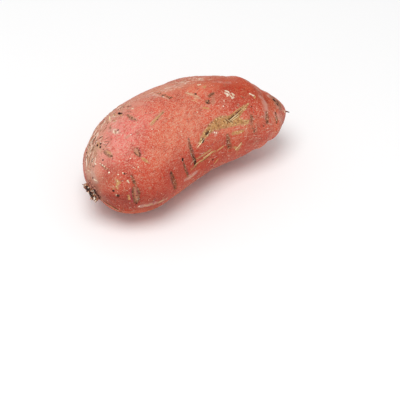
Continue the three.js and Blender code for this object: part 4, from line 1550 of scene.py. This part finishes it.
@dataclass
class StalkStub:
    """The short broken stalk: a ridged neck, a ragged rim and a hollow of torn pith."""

    form: BodyForm
    finish: StubFinish = StubFinish()
    outline: tuple[tuple[float, float], ...] = (
        ((7, -5), (8.3, -1), (7.3, 0.6), (7.2, 1.6), (7.7, 2.8), (7.9, 3.9), (7.2, 4.5), (6.2, 3.9), (5.2, 2.6))
        + ((3.8, 1.6), (2.2, 1.9), (0.9, 1.4))
    )
    sides: int = 128
    steps: int = 5
    rim_row: float = 5.5
    middle: float = 1.2
    short_side: float = math.radians(320)
    short_spread: float = 1.3
    slant: float = 0.75
    low_side: float = math.radians(225)
    low_spread: float = 0.6
    low_depth: float = 0.12
    lobe: float = 0.05
    ridge: float = 0.6
    lump: float = 0.5
    pith_lump: float = 1.5
    wave: float = 0.35
    tear: float = 0.9

    @classmethod
    def drawn_in(cls, turn: Array | float) -> Array:
        """Gives the share of its radius by which the rim is drawn in at a turn round the stalk."""
        return cls.low_depth * np.exp(-(((turn - cls.low_side) / cls.low_spread) ** 2))

    @classmethod
    def standing(cls, turn: Array | float) -> Array:
        """Gives the share of the rim's height that stands at a turn round the stalk."""
        off = (turn - cls.short_side + math.pi) % (2 * math.pi) - math.pi
        return 1 - cls.slant * np.exp(-((off / cls.short_spread) ** 2))

    def build(self) -> bpy.types.Object:
        """Builds the stub and dresses it.

        Returns:
            The stub.
        """
        knots = np.array(self.outline, float)
        rows = np.linspace(0, len(knots) - 1, (len(knots) - 1) * self.steps + 1)
        radius, height = spaced(knots, rows).T
        turn = np.arange(self.sides) * 2 * math.pi / self.sides
        torn = np.clip(rows / self.rim_row, 0, 1)[:, None]
        inner = eased(rows, self.rim_row + 0.3, self.rim_row + 2)[:, None]
        near = np.exp(-(((rows - self.rim_row) / 1.6) ** 2))[:, None]
        ragged, ridges, lumps = (np.zeros((len(rows), self.sides)) for _ in range(3))
        for i in range(len(rows)):
            for j in range(self.sides):
                ring = Vector((math.cos(turn[j]), math.sin(turn[j]), 0))
                spot = Vector((ring.x * radius[i], ring.y * radius[i], height[i]))
                ragged[i, j] = 0.7 * noise.noise(ring * 3.1) + noise.noise(ring * 9.3) + 0.6 * noise.noise(ring * 21)
                ridges[i, j] = noise.noise(ring * 10.5 + Vector((0, 0, height[i] * 0.12)))
                lumps[i, j] = noise.noise(spot * 0.55) + 0.5 * noise.noise(spot * 1.4)
        bulge = 1 + self.lobe * np.sin(3 * turn + 0.8) + torn * self.lobe * np.sin(7 * turn)
        bulge = bulge - torn * self.drawn_in(turn)
        far = radius[:, None] * bulge + (1 - inner) * (self.ridge * ridges + torn * self.lump * lumps)
        rise = torn * (self.wave * np.sin(4 * turn + 2) + near * self.tear * ragged) + inner * self.pith_lump * lumps
        stood = np.maximum(height, 0)[:, None] * self.standing(turn) + np.minimum(height, 0)[:, None]
        loops = np.stack([far * np.cos(turn), far * np.sin(turn), stood + rise], -1)
        ends = np.array([[0, 0, knots[0, 1]], [0, 0, self.middle]])
        place = np.concatenate([ends[:1], loops.reshape(-1, 3), ends[1:]])
        inside = np.concatenate([[0], np.repeat(inner[:, 0], self.sides), [1]])
        values = {
            "place": place,
            "torn": np.concatenate([[0], np.repeat((torn * near)[:, 0], self.sides), [0]]),
            "inner": inside,
            # Where the neck meets the body, which the finish paints with shade
            "foot": np.exp(-(((place[:, 2] - 0.2) / 0.9) ** 2)) * (1 - inside),
        }
        frame_of = StalkFrame(self.form)
        shell = Shell()
        shell.add(frame_of.out(ends[0]), frame_of.out(loops), frame_of.out(ends[1]), values)
        return shell.into("stalk_stub", self.form, self.finish.material())


@dataclass(frozen=True)
class Splinter:
    """A larger bit of the broken stalk: its places, each a turn in degrees, a radius and a height, and its shade."""

    path: tuple[tuple[float, float, float], ...]
    thick: float
    shade: float


# Each splinter: its half thickness, its shade and its places
SPLINTER_ROWS = (
    # Dark splinters that paint the shade in the gaps between the torn ends
    (0.75, -0.2, (6, 7.2, 3), (0, 7.5, 3.6), (354, 7.4, 4.1)),
    (0.75, -0.2, (346, 7.4, 3.3), (341, 7.6, 3.9), (337, 7.4, 4.4)),
    (0.85, -0.2, (323, 7.4, 3.6), (318, 7.6, 4.2), (314, 7.4, 4.8)), (0.6, -0.2, (296, 7.3, 4.4), (291, 7.4, 4.9)),
    # Dark splinters that paint the shade in the crease round the neck's foot
    (0.5, 0.05, (324, 7.9, 0.5), (312, 8, 0.9), (302, 8, 0.5), (290, 8, 0.8), (278, 8.1, 0.4)),
    (0.45, 0.1, (272, 8, 0.7), (258, 8, 0.4), (246, 8, 0.8)),
    # Pale torn ends, which also paint the glints of light on the torn rim
    (0.85, 1.3, (283, 7.5, 3.5), (279, 7.8, 4.1), (276, 7.6, 4.6)), (0.6, 1.1, (264, 7.6, 3.6), (258, 7.8, 4)),
    (0.6, 1.2, (328, 7.3, 4.8), (324, 7.4, 5.4)), (0.45, 0.75, (330, 7.6, 4.3), (334, 7.6, 4.6)),
    (0.6, 1.1, (24, 7.4, 3.2), (17, 7.7, 3.9)), (0.45, 1.0, (350, 7.7, 2.6), (348, 7.9, 3.3)),
    (0.45, 0.8, (305, 7.8, 2.4), (303, 8, 3.1)),
    # Rusty wood
    (0.7, 0.5, (270, 7.8, 2.2), (262, 8, 2.8), (254, 7.9, 3.2)), (0.6, 0.45, (296, 7.8, 2), (290, 8, 2.7)),
    (0.6, 0.4, (332, 7.7, 2), (328, 7.9, 2.8)),
    # Long ends that stand off
    (0.4, 0.35, (2, 7.4, 3.8), (0, 7.5, 4.6), (356, 7.4, 5.2)),
    (0.4, 0.3, (30, 7.4, 3.4), (36, 8, 4.2), (40, 8.8, 4.6)),
    (0.42, 0.6, (292, 7, 4.2), (294, 7.2, 5.6), (290, 7.8, 6.8)),
)

SPLINTERS = tuple(Splinter(tuple(path), thick, shade) for thick, shade, *path in SPLINTER_ROWS)


@dataclass
class TornFibres:
    """The fibres torn off at the stalk's rim and out of its pith, and its larger splinters."""

    form: BodyForm
    finish: FibreFinish = FibreFinish()
    rim_count: int = 70
    pith_count: int = 34
    rim: float = 7.5
    pith: float = 5.6
    height: float = 3.4
    rows: int = 8
    sides: int = 6
    seed: int = 11
    splinters: tuple[Splinter, ...] = SPLINTERS

    def build(self) -> bpy.types.Object:
        """Builds the fibres and dresses them.

        Returns:
            The fibres, as one piece.
        """
        chance = random.Random(self.seed)
        frame_of, shell = StalkFrame(self.form), Shell()
        for i in range(self.rim_count):
            turn = 2 * math.pi * (i + chance.random()) / self.rim_count
            reach, curl = 0.5 + 2.4 * chance.random() ** 2, chance.uniform(-0.8, 0.8)
            inset = chance.uniform(0, 1.5)
            stages = [(-1.6 - inset, -2.2, 0), (-0.3 - inset, -0.2, 0)]
            stages.append((0.25 * reach - inset * 0.6, 0.45 * reach, 0.1 * curl))
            stages.append((0.55 * reach - inset * 0.4, (0.55 + 0.3 * curl) * reach, 0.3 * curl))
            rim = self.rim * (1 - StalkStub.drawn_in(turn))
            high = self.height * StalkStub.standing(turn)
            path = [[(rim + r) * math.cos(turn + t), (rim + r) * math.sin(turn + t), high + h] for r, h, t in stages]
            self._strand(shell, frame_of, np.array(path), chance.uniform(0.18, 0.56), chance)
        for _ in range(self.pith_count):
            turn, radius = chance.uniform(0, 2 * math.pi), self.pith * math.sqrt(chance.random())
            lean, tall = chance.uniform(-0.7, 0.7), chance.uniform(0.8, 2.4)
            foot = np.array([radius * math.cos(turn), radius * math.sin(turn), 0.2])
            way = np.array([math.cos(turn + 2) * lean, math.sin(turn + 2) * lean, 1.0])
            path = [foot, foot + way * tall * 0.5, foot + way * tall + [0, 0, 0.2]]
            path.append(foot + way * tall * 1.5 * [1.3, 1.3, 1])
            self._strand(shell, frame_of, np.array(path), chance.uniform(0.26, 0.55), chance)
        for splinter in self.splinters:
            turns, radii, heights = np.array(splinter.path, float).T
            turns = np.unwrap(np.radians(turns))
            path = np.stack([radii * np.cos(turns), radii * np.sin(turns), heights], -1)
            self._strand(shell, frame_of, path, splinter.thick, chance, splinter.shade)
        return shell.into("torn_fibres", self.form, self.finish.material("stalk_fibre"))

    def _strand(
        self,
        shell: Shell,
        frame_of: StalkFrame,
        path: Array,
        thick: float,
        chance: random.Random,
        shade: float | None = None,
    ) -> None:
        """Adds one strand that thins to its tip.

        Args:
            shell: The shell to add to.
            frame_of: The stalk's frame.
            path: The strand's places in it.
            thick: Its half thickness at its foot.
            chance: What its unevenness is drawn from, and its shade where none is given.
            shade: Its shade from dark to straw.
        """
        smooth = softened(spaced(path, np.linspace(0, len(path) - 1, self.rows)))
        radii = thick * np.linspace(1, 0.35, len(smooth)) * [chance.uniform(0.8, 1.2) for _ in smooth]
        # Where no shade is given, two in five are dark and paint the shade between the torn fibres, most others are
        # brown, and the rest are straw white and paint the glints on them
        if shade is None:
            pick = chance.random()
            shade = chance.uniform(-0.2, 0.05) if pick < 0.4 else chance.uniform(0.3, 0.65) if pick < 0.82 else 1.2
        tube(shell, frame_of.out(smooth), radii, self.sides, {"shade": shade, "place": smooth})


@dataclass
class TailRootlet:
    """The thin dry rootlet at the tail, pale at its foot and dark at its tip."""

    form: BodyForm
    finish: FibreFinish = FibreFinish()
    path: tuple[tuple[float, float, float], ...] = (
        ((157, -10.2, 34.7), (159.6, -11.2, 34.4), (161.5, -12.3, 33.8), (163.6, -13.1, 33.1), (165.2, -13.7, 32.2))
    )
    radius: float = 1.05
    rows: int = 22
    sides: int = 16

    def build(self) -> bpy.types.Object:
        """Builds the rootlet and dresses it.

        Returns:
            The rootlet.
        """
        smooth = softened(softened(spaced(np.array(self.path), np.linspace(0, len(self.path) - 1, self.rows))))
        share = np.linspace(0, 1, len(smooth))
        knobs = np.array([1 + 0.16 * noise.noise(Vector((s * 9, 0, 4))) for s in share])
        radii = self.radius * (1.15 - 0.85 * share**0.8) * knobs
        shell = Shell()
        tube(shell, smooth, radii, self.sides, {"shade": 1.05 - 1.1 * share, "place": smooth})
        return shell.into("tail_rootlet", self.form, self.finish.material("tail_fibre"))


class Places:
    """Where crumbs stand on the skin, each as its place, its half width and its shade."""

    def __init__(self, form: BodyForm, seed: int) -> None:
        """Takes the body and sets where the scatter starts."""
        self.form = form
        self.chance = random.Random(seed)

    def at_marks(self, tissue: Tissue, least: float, most: float, plain_from: float = 0.75) -> Scatter:
        """Finds the plainest marks of one kind.

        Args:
            tissue: The kind.
            least: The least share of a mark's half width.
            most: The greatest share of it.
            plain_from: How plain a mark has to be.

        Returns:
            The places.
        """
        between = self.chance.uniform
        marks = [m for m in ALL_MARKS if m.tissue is tissue and m.amount > plain_from]
        return [(at, turn, w * between(least, most), between(0.4, 1)) for m in marks for at, turn, w in m.path]

    def along_marks(self, tissue: Tissue, each: float) -> Scatter:
        """Scatters flakes along the marks of one kind.

        Args:
            tissue: The kind.
            each: How many flakes there are to a millimetre.

        Returns:
            The places.
        """
        between, places = self.chance.uniform, []
        for mark in (m for m in ALL_MARKS if m.tissue is tissue):
            knots = np.array(mark.path, float)
            line, _ = self.form.laid(mark.path)
            run = np.linalg.norm(np.diff(line, axis=0), axis=1).sum()
            for _ in range(1 + int(run * each * mark.amount)):
                at, around, wide = spaced(knots, between(0, len(knots) - 1))
                at, around = at + wide * between(-0.8, 0.8), around + 1.6 * wide * between(-0.8, 0.8)
                places.append((at, around, between(0.16, 0.42), self.chance.random() ** 1.3))
        return places

    def inside(self, outline: Sequence[tuple[float, float]], count: int) -> Scatter:
        """Scatters grains inside an outline, and a third as many pale ones along its edge.

        Args:
            outline: The outline's places.
            count: How many there are inside.

        Returns:
            The places.
        """
        between, corners = self.chance.uniform, np.array(outline, float)
        low, high = corners.min(0), corners.max(0)
        places: Scatter = []
        while len(places) < count:
            at, around = between(low[0], high[0]), between(low[1], high[1])
            if enclosed(np.array([[at, around]]), corners)[0]:
                places.append((at, around, between(0.25, 0.6), between(0, 0.8)))
        for _ in range(count // 3):
            i = self.chance.randrange(len(corners))
            at, around = corners[i] + (corners[i - 1] - corners[i]) * self.chance.random()
            places.append((at + between(-0.4, 0.4), around + between(-0.6, 0.6), between(0.2, 0.45), between(0.6, 1)))
        return places


@dataclass
class Crumbs:
    """Small crumbs that stand on the skin, each a low uneven dome sunk into it."""

    form: BodyForm
    name: str
    places: Scatter
    finish: FibreFinish
    height: float = 0.6
    sides: int = 7
    stages: tuple[tuple[float, float], ...] = ((0.9, -0.6), (1.0, 0.3), (0.75, 0.75), (0.4, 0.95))
    uneven: tuple[float, float] = (0.65, 1.3)
    longer: tuple[float, float] = (0.8, 1.5)
    taller: tuple[float, float] = (0.7, 1.3)
    seed: int = 5

    def build(self) -> bpy.types.Object:
        """Builds the crumbs and dresses them.

        Returns:
            The crumbs, as one piece.
        """
        chance, shell = random.Random(self.seed), Shell()
        at, around, wide, shade = np.array(self.places, float).T
        feet = self.form.on_skin(at, around, 0.0)
        _, ahead, beside, out = self.form.spot(at, around)
        turn = np.arange(self.sides) * 2 * math.pi / self.sides
        for i, foot in enumerate(feet):
            uneven = wide[i] * np.array([chance.uniform(*self.uneven) for _ in turn])
            long, tall = chance.uniform(*self.longer), wide[i] * self.height * chance.uniform(*self.taller)
            flat = np.outer(uneven * np.cos(turn), ahead[i]) + np.outer(uneven * long * np.sin(turn), beside[i])
            loops = np.stack([foot + flat * share + out[i] * lift * tall for share, lift in self.stages])
            values = {"shade": shade[i], "place": np.tile(foot, (2 + len(self.stages) * self.sides, 1))}
            shell.add(foot - out[i] * tall, loops, foot + out[i] * tall, values)
        return shell.into(self.name, self.form, self.finish.material(self.name))


# How far from a hole's middle no fine fibre lies, in millimetres along and degrees around
CLEAR_OF_HOLES = (2.4, 5)


def strewn_strands(seed: int) -> list[Strand]:
    """Makes the fine fibres of the patches, clear of the dark holes.

    Args:
        seed: Where the scatter starts.

    Returns:
        The fibres.
    """
    chance = random.Random(seed)
    holes = np.array([place[:2] for mark in MARKS if mark.tissue is Tissue.HOLE for place in mark.path])
    strands = []
    for patch in FIBRE_PATCHES:
        for at, around, wide, shade in patch.strewn(chance):
            long, turn = chance.uniform(1.2, 4.0), chance.gauss(0.15, 0.5)
            degrees = math.degrees(long * math.sin(turn) / (8 + 2.4 * math.sqrt(max(at, 1.0) * 2)))
            middle = (at + long * math.cos(turn) / 2, around + degrees / 2 + chance.uniform(-0.6, 0.6))
            end = (at + long * math.cos(turn), around + degrees)
            if (np.abs((holes - middle) / CLEAR_OF_HOLES).max(1) > 1).all():
                strands.append(Strand(((at, around), middle, end), wide, shade))
    return strands


@dataclass
class PeelFibres:
    """Straw-like fibres laid on the skin."""

    form: BodyForm
    name: str
    strands: Sequence[Strand]
    finish: FibreFinish
    lift: float = 0.3
    thick_from: float = 0.27
    wander: float = 0.15
    seed: int = 31

    def build(self) -> bpy.types.Object:
        """Builds the fibres and dresses them.

        Returns:
            The fibres, as one piece.
        """
        chance, shell = random.Random(self.seed), Shell()
        rows = []
        for strand in self.strands:
            knots = np.array(strand.path, float)
            steps = (6 if strand.thick > self.thick_from else 3) * (len(knots) - 1)
            at, around = spaced(knots, np.linspace(0, len(knots) - 1, steps + 1)).T
            at = np.clip(at + [chance.uniform(-self.wander, self.wander) for _ in at], 0.5, self.form.length - 1)
            rows.append(np.stack([at, around, np.full(len(at), self.lift * strand.thick)], -1))
        laid = np.concatenate(rows)
        paths = np.split(self.form.on_skin(*laid.T), np.cumsum([len(row) for row in rows])[:-1])
        for strand, path in zip(self.strands, paths):
            swell = np.sin(np.linspace(0.35, math.pi - 0.25, len(path))) ** 0.6
            radii = strand.thick * swell * [chance.uniform(0.8, 1.15) for _ in path]
            sides = 6 if strand.thick > self.thick_from else 4
            tube(shell, path, radii, sides, {"shade": strand.shade, "place": path})
        return shell.into(self.name, self.form, self.finish.material(self.name))


@dataclass
class Studio:
    """The pale floor, the soft light and the camera at the photograph's angle."""

    azimuth: float = math.radians(-30.5)
    elevation: float = math.radians(42)
    distance: float = 1.2
    lens: float = 147.96
    aim: tuple[float, float, float] = (0.0011, 0.0005, 0.0356)
    right_of_aim: float = 0.013504
    below_aim: float = 0.046715
    key_way: tuple[float, float, float] = (-0.24, -0.2, 0.95)
    key_distance: float = 1.5
    key_size: float = 1.0
    key_power: float = 12.7
    world: float = 0.59
    sensor: float = 36.0
    clear: tuple[float, float] = (0.05, 50.0)
    floor_half: float = 8.0
    floor_grey: float = 0.96

    def build(self) -> None:
        """Builds the floor, the lights and the camera."""
        bpy.context.scene.view_settings.view_transform = "Standard"
        self._floor()
        self._light()
        self._camera()

    def _floor(self) -> None:
        """Lays the floor."""
        board = Board("studio_floor")
        shader = board.node("ShaderNodeBsdfDiffuse", None, {"Color": (*[self.floor_grey] * 3, 1.0)})
        out = board.node("ShaderNodeOutputMaterial")
        board.tree.links.new(shader.outputs["BSDF"], out.inputs["Surface"])
        mesh = bpy.data.meshes.new("floor")
        far = self.floor_half
        mesh.from_pydata([(-far, -far, 0), (far, -far, 0), (far, far, 0), (-far, far, 0)], [], [(0, 1, 2, 3)])
        mesh.materials.append(board.material)
        floor = bpy.data.objects.new("floor", mesh)
        bpy.context.scene.collection.objects.link(floor)
        floor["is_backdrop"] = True

    def _light(self) -> None:
        """Hangs the soft key light and sets the world's fill."""
        way = Vector(self.key_way).normalized()
        lamp = bpy.data.lights.new("key", "AREA")
        lamp.shape, lamp.size, lamp.energy = "DISK", self.key_size, self.key_power
        key = bpy.data.objects.new("key", lamp)
        key.location = way * self.key_distance
        key.rotation_euler = way.to_track_quat("Z", "Y").to_euler()
        bpy.context.scene.collection.objects.link(key)
        world = bpy.data.worlds.new("studio")
        world.use_nodes = True
        ground = world.node_tree.nodes["Background"]
        ground.inputs["Color"].default_value = (1.0, 1.0, 1.0, 1.0)
        ground.inputs["Strength"].default_value = self.world
        bpy.context.scene.world = world

    def _camera(self) -> None:
        """Sets the camera at the photograph's angle, so that the aim point falls where it does there."""
        a, e = self.azimuth, self.elevation
        back = Vector((math.sin(a) * math.cos(e), -math.cos(a) * math.cos(e), math.sin(e)))
        right = Vector((math.cos(a), math.sin(a), 0.0))
        up = back.cross(right)
        lens = bpy.data.cameras.new("camera")
        lens.lens, lens.sensor_width, lens.sensor_fit = self.lens, self.sensor, "HORIZONTAL"
        lens.clip_start, lens.clip_end = self.clear
        camera = bpy.data.objects.new("camera", lens)
        target = Vector(self.aim) + right * self.right_of_aim - up * self.below_aim
        camera.location = target + back * self.distance
        camera.rotation_euler = back.to_track_quat("Z", "Y").to_euler()
        bpy.context.scene.collection.objects.link(camera)
        bpy.context.scene.camera = camera


def main(packed: Iterable[Iterable[float]]) -> None:
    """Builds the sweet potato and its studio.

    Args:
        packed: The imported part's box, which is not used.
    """
    form = BodyForm()
    Studio().build()
    pale, dark, straw, dry, mixed, barky, corky = (
        FibreFinish(*shades)
        for shades in (
            ("b98a5c", "d8b084", "ecd2ac", "fbeed8"),
            ("1c0d0c", "2a1512", "3d221b", "6b4433"),
            ("3a241a", "8a5a3c", "cf9a5e", "f2dcb0"),
            ("5a3426", "a8745a", "d6ab8c", "f6e4d2"),
            ("3a1d18", "8a5240", "d0a080", "f4dcc6"),
            ("4e2c1e", "90604a", "bb8a68", "e0b896"),
            ("8e5e3c", "bb8450", "d8ac6e", "f3daa6"),
        )
    )
    places = Places(form, seed=7)
    strewn = [place for patch in CRUMB_PATCHES for place in patch.strewn(places.chance)]
    pieces = (
        Skin(form),
        StalkStub(form),
        TornFibres(form),
        TailRootlet(form),
        PeelFibres(form, "peel_fibres", STRANDS, straw),
        PeelFibres(form, "skin_fibres", strewn_strands(seed=31), dry),
        Crumbs(form, "cork_crumbs", places.at_marks(CREAM, least=0.7, most=1.05), pale, height=0.7),
        # Dark crumbs at the plainest hole marks, one of which is a pale crumb's painted shadow
        Crumbs(form, "soil_crumbs", places.at_marks(HOLE, least=0.7, most=0.95), dark, height=0.3),
        Crumbs(form, "scar_flakes", places.along_marks(BARK, each=2.2), barky, height=0.4),
        Crumbs(form, "graze_grains", places.inside(GRAZE, count=210), corky, height=0.3),
        Crumbs(form, "skin_crumbs", strewn, mixed, height=0.5, sides=6),
    )
    for piece in pieces:
        log.info("built %s", piece.build().name)


if __name__ == "__main__":
    logging.basicConfig(level=logging.INFO, format="%(name)s: %(message)s")
    main(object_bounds())
